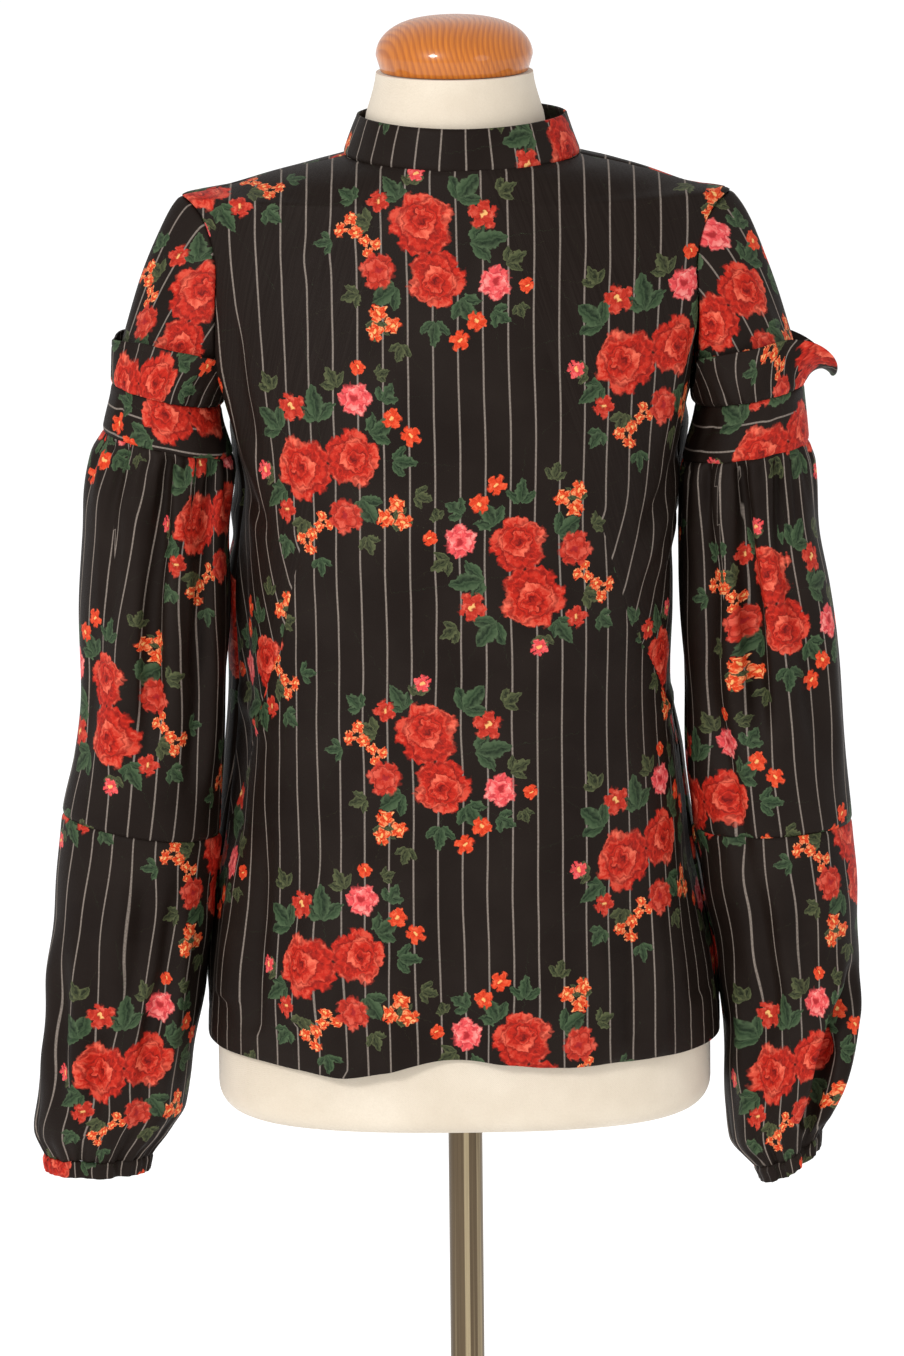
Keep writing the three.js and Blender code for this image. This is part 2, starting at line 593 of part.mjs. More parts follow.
// Upper sleeve: every line round it runs from the armhole out over the arm and down to the band
function upperSleevePoint(side, turn, part) {
  const wrapped = ((turn % 360) + 360) % 360;
  const outward = side === 'left' ? -1 : 1;
  const { start, end, span } = upperSleeveEnds(side, wrapped);
  const topShare = (1 + Math.cos(radians(wrapped))) / 2;
  const leaving = new THREE.Vector3(outward * (0.3 + 0.1 * topShare), 0, -0.45 + 0.15 * topShare);
  const arriving = new THREE.Vector3(outward * (0.15 + 0.07 * topShare), 0, -0.85);
  const square = part * part;
  const cube = square * part;
  return start.multiplyScalar(2 * cube - 3 * square + 1)
    .addScaledVector(leaving, (cube - 2 * square + part) * span)
    .addScaledVector(end, 3 * square - 2 * cube)
    .addScaledVector(arriving, (cube - square) * span);
}

// Direction of the arm, square to the sleeve's slanted section at a height
function armDirection(side, height) {
  const tilt = radians(valueAt(SLEEVE_SECTIONS[side], height, 'tilt'));
  return new THREE.Vector3((side === 'left' ? 1 : -1) * Math.sin(tilt), 0, Math.cos(tilt));
}

// A direction turned into the plane that is square to the arm, so that the rims of two pieces stay parallel
function flattened(direction, square) {
  return direction.addScaledVector(square, -direction.dot(square)).normalize();
}

// Out of the sleeve is the cross product of round and down on one side, and of round and up on the other
function sleeveWall({ side, rows, columns, thickness, surface, alongAt, stepAlong, downward, squareAt }) {
  const turnOut = (side === 'left') === downward ? -1 : 1;
  const at = (column, row) => {
    const turn = (360 * column) / columns;
    const along = alongAt(row);
    const normal = normalAt(surface, turn, along, 0.5, stepAlong).multiplyScalar(turnOut);
    const square = squareAt(row);
    return { point: surface(turn, along), normal: square ? flattened(normal, square) : normal };
  };
  return clothWall({ rows, columns, closed: true, at, thickness });
}

function upperSleeve(side) {
  return sleeveWall({
    side,
    rows: UPPER_SLEEVE_ROWS,
    columns: SLEEVE_COLUMNS,
    thickness: CLOTH,
    surface: (turn, part) => upperSleevePoint(side, turn, part),
    alongAt: (row) => row / UPPER_SLEEVE_ROWS,
    stepAlong: 0.01,
    downward: true,
    squareAt: (row) => (row === UPPER_SLEEVE_ROWS ? armDirection(side, SLEEVE_SEAMS[side].bandTop) : null),
  });
}

// A tube of sleeve between two seams, with rows at the given shares of the way down
function sleeveStretch(side, top, bottom, shares, thickness) {
  const from = top - SEAM_GAP / 2;
  const to = bottom + SEAM_GAP / 2;
  return sleeveWall({
    side,
    rows: shares.length - 1,
    columns: SLEEVE_COLUMNS,
    thickness,
    surface: (turn, height) => sleevePoint(side, turn, height),
    alongAt: (row) => from + (to - from) * shares[row],
    stepAlong: 0.5,
    downward: false,
    squareAt: (row) => armDirection(side, from + (to - from) * shares[row]),
  });
}

// Frill: it starts just outside the foot of the upper sleeve, runs up beside it, and leans and curls away.
// Under the arm, where the upper sleeve is short, the frill is squashed lower.
function rufflePoint(side, turn, share) {
  const surface = (around, part) => upperSleevePoint(side, around, part);
  const turnOut = side === 'left' ? -1 : 1;
  const { span } = upperSleeveEnds(side, ((turn % 360) + 360) % 360);
  const atTurn = (column) => RUFFLE_CURLS[side].reduce((sum, row) => (
    sum + row[column] * bell(turnBetween(turn, row.angle) / row.reach)), 0);
  const fullHeight = RUFFLE_HEIGHT + atTurn('longer');
  const height = THREE.MathUtils.clamp(span - RUFFLE_SHORT_OF_ARMHOLE, RUFFLE_LEAST_HEIGHT, fullHeight);
  const fullness = height / RUFFLE_HEIGHT;
  const curl = atTurn('curl');
  const steps = 8;
  let rise = 0;
  let outset = CLOTH + SEAM_GAP;
  for (let step = 0; step < steps; step += 1) {
    const reached = (step + 0.5) / steps;
    if (reached > share) break;
    const lean = radians(RUFFLE_LEAN + curl * reached ** RUFFLE_CURL_POWER);
    rise += (height / steps) * Math.cos(lean);
    outset += (height / steps) * Math.sin(lean);
  }
  const wave = RUFFLE_WAVE_DEPTH * fullness * (1 - Math.cos(radians(RUFFLE_WAVES * turn))) / 2;
  const part = 1 - rise / span;
  const out = normalAt(surface, turn, Math.min(part, 0.99), 0.5, 0.005).multiplyScalar(turnOut);
  return surface(turn, part).addScaledVector(out, outset + wave * share);
}

function ruffle(side) {
  return sleeveWall({
    side,
    rows: RUFFLE_ROWS.length - 1,
    columns: RUFFLE_COLUMNS,
    thickness: CLOTH,
    surface: (turn, share) => rufflePoint(side, turn, share),
    alongAt: (row) => RUFFLE_ROWS[row],
    stepAlong: 0.2,
    downward: false,
    squareAt: () => null,
  });
}

// A closed solid through horizontal sections, flat at both ends
function loftedSolid(sections) {
  const positions = [];
  sections.forEach((section) => {
    for (let column = 0; column < FORM_COLUMNS; column += 1) {
      const angle = (360 * column) / FORM_COLUMNS;
      const radius = sectionRadius(section, angle);
      positions.push(radius * Math.sin(radians(angle)), -radius * Math.cos(radians(angle)), section.height);
    }
  });
  const triangles = [];
  const pointAt = (column, row) => row * FORM_COLUMNS + (column % FORM_COLUMNS);
  for (let row = 0; row < sections.length - 1; row += 1) {
    for (let column = 0; column < FORM_COLUMNS; column += 1) {
      const [a, b] = [pointAt(column, row), pointAt(column + 1, row)];
      const [c, d] = [pointAt(column + 1, row + 1), pointAt(column, row + 1)];
      triangles.push(a, b, c, a, c, d);
    }
  }
  const middles = [sections[0], sections[sections.length - 1]].map((section) => {
    positions.push(0, 0, section.height);
    return positions.length / 3 - 1;
  });
  const last = sections.length - 1;
  for (let column = 0; column < FORM_COLUMNS; column += 1) {
    triangles.push(middles[0], pointAt(column + 1, 0), pointAt(column, 0));
    triangles.push(middles[1], pointAt(column, last), pointAt(column + 1, last));
  }
  return closedGeometry(positions, triangles);
}

// Torso: a rounded bottom edge, the table's sections, the shoulders under the cloth and the neck
function formTorso() {
  const bottomEdge = [0, 0.15, 0.45].map((share) => {
    const rise = FORM_EDGE_RADIUS * share;
    const inset = FORM_EDGE_RADIUS - Math.sqrt(FORM_EDGE_RADIUS ** 2 - (FORM_EDGE_RADIUS - rise) ** 2);
    const { half, front, back, power } = FORM_SECTIONS[0];
    return {
      height: FORM_BOTTOM + rise, half: half - inset, front: front - inset, back: back - inset, power,
    };
  });
  const upright = FORM_SECTIONS.slice(1);
  const firstUpright = { ...FORM_SECTIONS[0], height: FORM_BOTTOM + FORM_EDGE_RADIUS };
  return loftedSolid([...bottomEdge, firstUpright, ...upright, ...FORM_SHOULDER, ...FORM_NECK]);
}

// Lathe about the vertical axis from a profile of [radius, height] pairs
function turned(profile) {
  const points = profile.map(([radius, height]) => new THREE.Vector2(radius, height));
  return new THREE.LatheGeometry(points, ROUND_SEGMENTS).rotateX(Math.PI / 2);
}

function neckCap() {
  const bottom = FORM_NECK_TOP + SEAM_GAP;
  const widest = bottom + CAP_HEIGHT * 0.3;
  const crown = bottom + CAP_HEIGHT - widest;
  const profile = [[0, bottom], [CAP_FOOT_RADIUS, bottom], [CAP_FOOT_RADIUS + 2.5, bottom + 4]];
  const steps = 9;
  for (let step = 0; step <= steps; step += 1) {
    const turn = (Math.PI / 2) * (step / steps);
    profile.push([CAP_RADIUS * Math.cos(turn) ** 0.72, widest + crown * Math.sin(turn)]);
  }
  profile[profile.length - 1][0] = 0;
  return turned(profile);
}

function pole() {
  const bottom = SOCKET_FLOOR + SEAM_GAP;
  const top = FORM_BOTTOM - SEAM_GAP;
  return turned([[0, bottom], [POLE_RADIUS, bottom], [POLE_RADIUS, top], [0, top]]);
}

// Round plate with a low hub, whose socket takes the foot of the pole
function basePlate() {
  const socket = POLE_RADIUS + SEAM_GAP;
  return turned([
    [0, 0], [PLATE_RADIUS - PLATE_EDGE, 0], [PLATE_RADIUS, PLATE_EDGE],
    [PLATE_RADIUS, PLATE_THICKNESS - PLATE_EDGE],
    [PLATE_RADIUS - PLATE_EDGE, PLATE_THICKNESS], [HUB_RADIUS + 6, PLATE_THICKNESS + 1.5],
    [HUB_RADIUS, PLATE_THICKNESS + 6], [HUB_RADIUS, HUB_HEIGHT - 2], [HUB_RADIUS - 2, HUB_HEIGHT],
    [socket, HUB_HEIGHT], [socket, SOCKET_FLOOR], [0, SOCKET_FLOOR],
  ]);
}

// Merge the seam and pole points of library shapes, so that every solid is one closed body
function closedBody(geometry) {
  geometry.deleteAttribute('normal');
  geometry.deleteAttribute('uv');
  const merged = mergeVertices(geometry, 1e-4);
  const { array } = merged.getIndex();
  const triangles = [];
  for (let start = 0; start < array.length; start += 3) {
    const [a, b, c] = array.slice(start, start + 3);
    if (a !== b && b !== c && c !== a) triangles.push(a, b, c);
  }
  return closedGeometry([...merged.getAttribute('position').array], triangles);
}

const model = new THREE.Group();

function addPiece(name, geometry, material) {
  const mesh = new THREE.Mesh(geometry, new THREE.MeshStandardMaterial(MATERIALS[material]));
  mesh.name = name;
  model.add(mesh);
}

addPiece('front', bodyPanel('front'), 'printedCloth');
addPiece('back', bodyPanel('back'), 'printedCloth');
addPiece('collar', collar(), 'printedCloth');
addPiece('neck_button', closedBody(neckButton()), 'button');
addPiece('neck_loop', closedBody(neckLoop()), 'button');
for (const side of ['left', 'right']) {
  const { bandTop, bandBottom, balloonEnd, cuffTop, cuffBottom } = SLEEVE_SEAMS[side];
  const band = sleeveStretch(side, bandTop, bandBottom, [0, 1], FOLDED_CLOTH);
  const balloon = sleeveStretch(side, bandBottom, balloonEnd, BALLOON_ROWS, CLOTH);
  const lowerSleeve = sleeveStretch(side, balloonEnd, cuffTop, LOWER_ROWS, CLOTH);
  const cuff = sleeveStretch(side, cuffTop, cuffBottom, [0, 1], FOLDED_CLOTH);
  addPiece(`upper_sleeve_${side}`, upperSleeve(side), 'printedCloth');
  addPiece(`ruffle_${side}`, ruffle(side), 'printedCloth');
  addPiece(`arm_band_${side}`, band, 'printedCloth');
  addPiece(`balloon_${side}`, balloon, 'printedCloth');
  addPiece(`lower_sleeve_${side}`, lowerSleeve, 'printedCloth');
  addPiece(`cuff_${side}`, cuff, 'printedCloth');
}
addPiece('form_torso', formTorso(), 'jersey');
addPiece('neck_cap', closedBody(neckCap()), 'varnishedWood');
addPiece('pole', closedBody(pole()), 'brushedSteel');
addPiece('base_plate', closedBody(basePlate()), 'paintedSteel');

export default model;
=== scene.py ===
"""A blouse with frilled balloon sleeves, worn by a limbless dress form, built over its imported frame.

Sizes in the tables are millimetres, in the frame of the CAD. The front of the blouse faces -Y, and left
and right are those of a viewer in front.
"""

import math

import bpy
import numpy as np
from mathutils import Matrix, Vector


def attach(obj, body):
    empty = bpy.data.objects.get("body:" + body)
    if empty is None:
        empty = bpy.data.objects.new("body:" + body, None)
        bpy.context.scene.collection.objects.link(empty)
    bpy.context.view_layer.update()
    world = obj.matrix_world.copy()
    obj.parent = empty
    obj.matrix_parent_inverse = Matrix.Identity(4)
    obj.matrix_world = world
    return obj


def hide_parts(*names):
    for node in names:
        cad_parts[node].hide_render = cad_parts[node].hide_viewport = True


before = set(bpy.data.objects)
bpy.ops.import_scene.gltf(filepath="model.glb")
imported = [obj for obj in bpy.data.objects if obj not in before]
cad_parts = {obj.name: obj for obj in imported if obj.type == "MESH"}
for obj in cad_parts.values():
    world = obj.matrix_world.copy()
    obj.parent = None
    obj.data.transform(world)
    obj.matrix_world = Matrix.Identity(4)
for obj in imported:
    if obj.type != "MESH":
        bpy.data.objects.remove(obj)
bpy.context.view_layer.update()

MM = 0.001
SEED = 7

# Heights of the blouse
HEM = 560
UNDERARM = 992
SHOULDER_TIP = 1124.5
NECKLINE = 1151
COLLAR_SHIFT = 4.5
COLLAR_RISE = 25.5
COLLAR_LEAN = 9
NECKLINE_FRONT_DROP = 3
NECKLINE_BACK_RISE = 1
SLIT_WIDTH = 2.4
SLIT_LENGTH = 118
ARMHOLE_HALF_DEPTH = 47

# Cloth thickness, the rounding of an edge into its seam, and the gap between neighbours
CLOTH = 1.2
FOLDED_CLOTH = 1.8
SEAM_DIP = 1.1
SEAM_DIP_WIDTH = 1.7
GAP = 0.3

# Frill above the arm band
RUFFLE_HEIGHT = 33
RUFFLE_LEAN = 5
RUFFLE_CURL_POWER = 0.8
RUFFLE_WAVES = 8
RUFFLE_WAVE_DEPTH = 3.2
RUFFLE_SHORT_OF_ARMHOLE = 5.5
RUFFLE_LEAST_HEIGHT = 1.5

# Dress form and stand
FORM_BOTTOM = 511
FORM_EDGE_RADIUS = 16
FORM_NECK_TOP = 1204
CAP_RADIUS = 51.5
CAP_FOOT_RADIUS = 48
CAP_HEIGHT = 36
POLE_RADIUS = 11.5
PLATE_RADIUS = 160
PLATE_THICKNESS = 6
HUB_RADIUS = 22
HUB_HEIGHT = 34
SOCKET_FLOOR = 8

# Button and thread loop at the back of the collar
BUTTON_RADIUS = 4.6
BUTTON_THICKNESS = 1.8
SHANK_RADIUS = 1.3
SHANK_LENGTH = 2.4
BUTTON_OFFSET = 5.5
LOOP_WIRE_RADIUS = 0.6
LOOP_SEGMENTS = 14
LOOP_STRAIGHT_POINTS = 22
LOOP_HALF_WIDTH = 2.4
LOOP_REACH = 8.5
SEAT_HEIGHT = 0.4

# Columns and rows of the grids of cloth and of the form, and steps of the frill's curl
PANEL_COLUMNS = 190
LOW_ROWS, ARMHOLE_ROWS, HIGH_ROWS = 110, 48, 26
COLLAR_COLUMNS, COLLAR_ROWS = 240, 12
TUBE_COLUMNS = 220
FORM_COLUMNS, FORM_ROWS = 168, 130
SLEEVE_ROWS = 90
CUFF_ROWS = 12
BAND_ROWS = 20
UPPER_SLEEVE_ROWS = 44
RUFFLE_COLUMNS, RUFFLE_ROWS = 320, 32
RUFFLE_STEPS = 40

# Printed cloth: flat width of each tube, radius, length and turn of the grain of the upper sleeve,
# length of a degree round a sleeve, and how far a millimetre of a fold's lift carries the print aside
BALLOON_WIDTH = 335
LOWER_SLEEVE_WIDTH = 330
CUFF_WIDTH = 300
BAND_WIDTH = 262
RUFFLE_WIDTH = 400
UPPER_SLEEVE_RADIUS = 46
UPPER_SLEEVE_LENGTH = 90
GRAIN_TURN = 30
DEGREE_LENGTH = 0.87
PRINT_SHIFT = 0.6

# Heights on the body between which its print changes from lengths round it to plain widths, and
# above which the print follows the slope of the shoulders
ARC_ENDS, PLAIN_STARTS = 1020, 1115
SLOPE_STARTS = 1090

# Stitched lines: the hem's above its edge, the collar's above its seam, the frill's below its edge
HEM_DEPTH = 15
COLLAR_STITCH = 22.5
RUFFLE_STITCH = 4

# Camera, as worked out from the photograph's frame
IMAGE_HEIGHT = 1356
CAMERA_AT = (-5.8, -4500, 1754.5)
CAMERA_PITCH = 12
CAMERA_ROLL = 0.0106
FOCAL_PIXELS = 6901
SENSOR = 36

# Studio, in metres and watts. Each light: its place, what it is aimed at, its size and its power
WHITE = (1, 1, 1, 1)
WORLD_STRENGTH = 0.8
FLOOR_GLOW = 0.3
FLOOR_REACH = (30, 60)
LIGHTS = {
    "key": ((-2.2, -3.4, 3.0), (0, 0, 0.9), 0.9, 100),
    "fill": ((2.6, -3.0, 2.0), (0, 0, 0.8), 1.6, 12),
}


def smoothstep(low, high, x):
    """0 below low, 1 above high, and an even S between them."""
    part = np.clip((np.asarray(x, float) - low) / (high - low), 0, 1)
    return part * part * (3 - 2 * part)


def bell(distance):
    """1 in the middle and 0 at one whole reach away."""
    part = np.minimum(np.abs(distance), 1)
    return (1 - part**2) ** 2


def ridge(distance, width=1):
    """1 on a line, and almost 0 from two widths beside it."""
    return np.exp(-((distance / width) ** 2))


def plateau(distance):
    """A bell that keeps its full height through the middle half."""
    part = np.minimum(np.abs(distance), 1)
    return np.where(part < 0.5, 1, bell(2 * part - 1))


def turn_between(angle, middle):
    return (np.asarray(angle, float) - middle + 540) % 360 - 180


class Table:
    """Named columns over heights, read smoothly at any height without passing the neighbouring rows."""

    def __init__(self, names, rows):
        ordered = np.array(sorted(rows), float)
        self.heights = ordered[:, 0]
        self.values = dict(zip(names.split(), ordered[:, 1:].T))
        self.slopes = {name: self._slopes(column) for name, column in self.values.items()}

    def _slopes(self, column):
        steps = np.diff(column) / np.diff(self.heights)
        below, above = steps[:-1], steps[1:]
        agree = below * above > 0
        inner = np.where(agree, 2 * below * above / np.where(agree, below + above, 1), 0)
        return np.concatenate([[0], inner, [0]])

    def at(self, name, height):
        height = np.clip(height, self.heights[0], self.heights[-1])
        index = np.clip(np.searchsorted(self.heights, height, "right") - 1, 0, len(self.heights) - 2)
        step = self.heights[index + 1] - self.heights[index]
        part = (height - self.heights[index]) / step
        start, end = self.values[name][index], self.values[name][index + 1]
        start_slope, end_slope = self.slopes[name][index] * step, self.slopes[name][index + 1] * step
        return (
            start
            + part * start_slope
            + part**2 * (3 * (end - start) - 2 * start_slope - end_slope)
            + part**3 * (2 * (start - end) + start_slope + end_slope)
        )


# Sections of the worn body: half width, depth in front and behind, and how square the section is
BODY = Table(
    "half front back power",
    [
        (560, 172, 120, 114, 2.5),
        (600, 168, 118, 111, 2.5),
        (644, 159, 116, 107, 2.4),
        (692, 150.5, 115, 102, 2.4),
        (743, 144, 114, 97, 2.4),
        (800, 139.5, 115, 94, 2.4),
        (860, 141.5, 119, 95, 2.4),
        (917, 140.5, 121, 98, 2.4),
        (944, 144.5, 119, 101, 2.4),
        (965, 147, 117, 103, 2.4),
        (992, 154, 113, 104, 2.4),
        (1020, 163, 107, 104, 2.4),
        (1053, 171.5, 99, 101, 2.35),
        (1085, 176.5, 91, 95, 2.1),
        (1105, 179, 86, 90, 1.9),
        (1124.5, 180, 81, 84, 1.7),
        (1129.5, 155, 79, 81, 1.75),
        (1138.5, 125, 76, 76, 1.85),
        (1144, 104, 74.5, 72, 1.9),
        (1151, 78, 73, 70, 2),
    ],
)

# Sections of the dress form, like those of the body
FORM = Table(
    "half front back power",
    [
        (511, 165.5, 111, 104, 2.7),
        (552, 165.5, 110, 104, 2.6),
        (600, 160.5, 108, 101, 2.6),
        (650, 151, 105, 97, 2.5),
        (700, 140, 102, 92, 2.5),
        (750, 130, 101, 88, 2.5),
        (800, 125, 102, 86, 2.4),
        (860, 127, 107, 87, 2.4),
        (917, 132, 111, 91, 2.4),
        (960, 138, 108, 95, 2.4),
        (1000, 148, 102, 96, 2.4),
        (1040, 157, 94, 94, 2.3),
        (1080, 165, 84, 87, 2),
        (1103, 168, 77, 80, 1.85),
        (1118, 165, 71, 73, 1.75),
        (1127.5, 154.5, 68, 70, 1.75),
        (1132, 138.5, 67, 69, 1.8),
        (1136.5, 122.5, 66, 67, 1.85),
        (1142, 100, 65, 65, 1.9),
        (1149, 73, 64, 62, 2),
        (1152, 65, 61.5, 61, 2),
        (1160, 61, 59.5, 58, 2),
        (1176, 58.5, 57.5, 55, 2),
        (1186, 55.5, 55, 54, 2),
        (1195, 53, 52.8, 52.8, 2),
        (1204, 51.5, 51.5, 51.5, 2),
    ],
)

# Soft waves of the body: angle from the front, reach in degrees, depth, lowest and highest point
BODY_WAVES = [
    (-34, 13, 5, 500, 760),
    (-3, 15, -5, 500, 720),
    (27, 11, 2.5, 520, 700),
    (47, 10, -2.5, 520, 690),
    (-101, 20, 18, 560, 945),
    (-104, 16, 9, 890, 988),
    (104, 16, 10, 890, 988),
    (101, 18, 7, 560, 800),
    (148, 13, 4, 500, 740),
    (176, 15, -3, 500, 720),
    (-152, 13, 3.5, 500, 730),
]

# The hem's own height round the body: angle, reach, rise
HEM_WAVES = [(-34, 14, -5), (-3, 17, 6), (148, 16, -3)]

# Slanted sections of each sleeve: centre and half width sideways, depth, forward shift and tilt
SLEEVES = {
    "left": Table(
        "centre half depth forward tilt",
        [
            (994, 192.2, 37, 43, 4, 12.5),
            (961, 192, 44, 45, 5, 11.5),
            (943, 195.5, 46.5, 47, 5, 11),
            (911, 200, 48.5, 49, 6, 10),
            (851, 203, 50, 49, 8, 9),
            (790, 204.5, 48.5, 48, 9, 9),
            (745, 208.5, 50, 49, 10, 8.5),
            (704, 214, 53, 50, 10, 8.5),
            (654, 219.5, 53.5, 49, 10, 7),
            (600, 226, 53, 47, 10, 5),
            (550, 233, 50.5, 45, 9, 3),
            (510, 238, 51, 42, 8, 1),
            (492, 244, 47, 38, 8, 0),
            (474, 248, 38, 30, 8, 0),
            (464, 248.5, 36.5, 28, 8, 0),
        ],
    ),
    "right": Table(
        "centre half depth forward tilt",
        [
            (990, 192.7, 36.8, 43, 4, 10),
            (952, 190, 42.5, 45, 5, 8),
            (932, 190.5, 44, 47, 5, 8),
            (905, 191, 46, 49, 6, 7),
            (856, 196, 49.5, 49, 8, 6),
            (798, 200.5, 52, 48, 9, 4),
            (745, 203, 53.5, 49, 10, 2),
            (700, 207, 53, 50, 10, 2),
            (650, 213.5, 51, 48, 10, 2),
            (606, 217, 48, 47, 10, 3),
            (560, 219.5, 44.5, 46, 9, 6),
            (524, 218, 44.5, 45, 8, 12),
            (497, 216, 41.5, 42, 8, 20),
            (475, 217.5, 27.5, 38, 8, 28),
            (465, 219, 25, 36, 8, 29),
        ],
    ),
}
OUTWARD = {"left": -1, "right": 1}

# Heights of the sleeve's seams: band top, band bottom, end of the balloon, cuff top, cuff bottom
SEAMS = {"left": (994, 961, 704, 474, 464), "right": (990, 952, 700, 475, 465)}

# Largest folds of the sleeves: turn, reach in degrees, depth, lowest and highest point.
# Turn 0 is the outer side, 90 the front, 180 the inner side and 270 the back.
SLEEVE_WAVES = {
    "left": [
        (92, 15, -6, 760, 975),
        (55, 14, -3, 830, 975),
        (132, 14, -5, 800, 975),
        (235, 16, -5, 790, 975),
        (300, 16, -5, 770, 975),
        (75, 16, -3, 420, 640),
        (118, 14, -4, 420, 620),
        (250, 16, -4, 420, 640),
    ],
    "right": [
        (97, 14, -6, 750, 970),
        (62, 14, -4, 820, 970),
        (130, 14, -3, 820, 970),
        (240, 16, -5, 790, 970),
        (298, 16, -5, 770, 970),
        (60, 15, -7, 430, 600),
        (112, 14, -3, 430, 620),
        (255, 18, -4, 430, 640),
    ],
}

# Turning over of the frill's edge: turn, reach, curl in degrees, and how much longer it is there
RUFFLE_CURLS = {"left": (0, 60, 8, -6), "right": (-8, 52, 165, -9)}


def waves_lift(waves, angle, height):
    lift = np.zeros(np.broadcast(angle, height).shape)
    for middle, reach, depth, low, high in waves:
        along = plateau((height - (low + high) / 2) / ((high - low) / 2))
        lift = lift + depth * along * bell(turn_between(angle, middle) / reach)
    return lift


def section_radius(table, height, angle, inset=0):
    """Reach of a table's section at an angle, 0 in front, with its rim drawn in by an inset."""
    turn = np.radians(angle)
    power = table.at("power", height)
    depth = np.where(np.cos(turn) > 0, table.at("front", height), table.at("back", height)) - inset
    sideways = np.abs(np.sin(turn)) / (table.at("half", height) - inset)
    lengthways = np.abs(np.cos(turn)) / depth
    return (sideways**power + lengthways**power) ** (-1 / power)


def neckline_height(angle):
    cosine = np.cos(np.radians(angle))
    front = np.maximum(cosine, 0) ** 2
    back = np.maximum(-cosine, 0) ** 2
    return NECKLINE - NECKLINE_FRONT_DROP * front + NECKLINE_BACK_RISE * back


def body_point(angle, height):
    """Outer face of the worn body at an angle, 0 in front and 90 at the right, and a nominal height."""
    turn = np.radians(angle)
    radius = section_radius(BODY, height, angle) + waves_lift(BODY_WAVES, angle, height)
    above_tip = np.maximum(height - SHOULDER_TIP, 0) / (NECKLINE - SHOULDER_TIP)
    near_hem = 1 - smoothstep(HEM, HEM + 90, height)
    rise = sum(lift * bell(turn_between(angle, middle) / (2 * reach)) for middle, reach, lift in HEM_WAVES)
    shift = COLLAR_SHIFT * smoothstep(SHOULDER_TIP, NECKLINE, height)
    z = height + above_tip * (neckline_height(angle) - NECKLINE) + near_hem * rise
    return np.stack([shift + radius * np.sin(turn), -radius * np.cos(turn), z], -1)


def armhole_height(turn):
    middle = (SHOULDER_TIP + UNDERARM) / 2
    return middle + (SHOULDER_TIP - middle) * np.cos(np.radians(turn))


def armhole_angle(turn, face):
    """Body angle, from the middle of that face, at which the armhole cuts it at a turn."""
    height = armhole_height(turn)
    reach = ARMHOLE_HALF_DEPTH * np.abs(np.sin(np.radians(turn)))
    power = BODY.at("power", height)
    depth = BODY.at(face, height)
    sideways = BODY.at("half", height) * (1 - (reach / depth) ** power) ** (1 / power)
    return np.degrees(np.arctan2(sideways, reach))


def sleeve_point(side, turn, height):
    """Outer face of a sleeve below its upper part."""
    table = SLEEVES[side]
    around = np.radians(turn)
    tilt = np.radians(table.at("tilt", height))
    lift = waves_lift(SLEEVE_WAVES[side], turn, height)
    across = (table.at("half", height) + lift) * np.cos(around)
    forward = (table.at("depth", height) + lift) * np.sin(around)
    x = OUTWARD[side] * (table.at("centre", height) + across * np.cos(tilt))
    return np.stack([x, -table.at("forward", height) - forward, height + across * np.sin(tilt)], -1)


def armhole_point(side, turn):
    """Seam of the armhole at a turn, 0 at the shoulder tip and 180 under the arm."""
    folded = np.where(turn <= 180, turn, 360 - turn)
    front = armhole_angle(folded, "front")
    back = 180 - armhole_angle(folded, "back")
    angle = np.where(turn <= 180, front, back)
    return body_point(OUTWARD[side] * angle, armhole_height(folded))


def upper_sleeve_point(side, turn, part):
    """Upper sleeve: each line round it runs from the armhole out over the arm and down to the band."""
    turn = np.asarray(turn, float) % 360
    out = OUTWARD[side]
    start = armhole_point(side, turn)
    end = sleeve_point(side, turn, np.full_like(turn, SEAMS[side][0]))
    span = np.linalg.norm(end - start, axis=-1)
    top = (1 + np.cos(np.radians(turn))) / 2
    zero = np.zeros_like(top)
    leaving = np.stack([out * (0.3 + 0.1 * top), zero, -0.45 + 0.15 * top], -1) * span[..., None]
    arriving = np.stack([out * (0.15 + 0.07 * top), zero, zero - 0.85], -1) * span[..., None]
    part = np.asarray(part, float)[..., None]
    square, cube = part**2, part**3
    return (
        start * (2 * cube - 3 * square + 1)
        + leaving * (cube - 2 * square + part)
        + end * (3 * square - 2 * cube)
        + arriving * (cube - square)
    )


def normals_of(points, closed):
    """Unit normals of a grid of points, right-handed with its columns and rows."""
    across = np.gradient(points, axis=1)
    along = np.gradient(points, axis=0)
    if closed:
        seam = (points[:, 1] - points[:, -2]) / 2
        across[:, 0] = across[:, -1] = seam
    normal = np.cross(across, along)
    length = np.linalg.norm(normal, axis=-1, keepdims=True)
    return normal / np.maximum(length, 1e-9)


def arc_lengths(points, axis):
    """Distance along the columns or rows of a grid, from its first line."""
    steps = np.linalg.norm(np.diff(points, axis=axis), axis=-1)
    zero = np.zeros_like(np.take(steps, [0], axis))
    return np.concatenate([zero, np.cumsum(steps, axis)], axis)


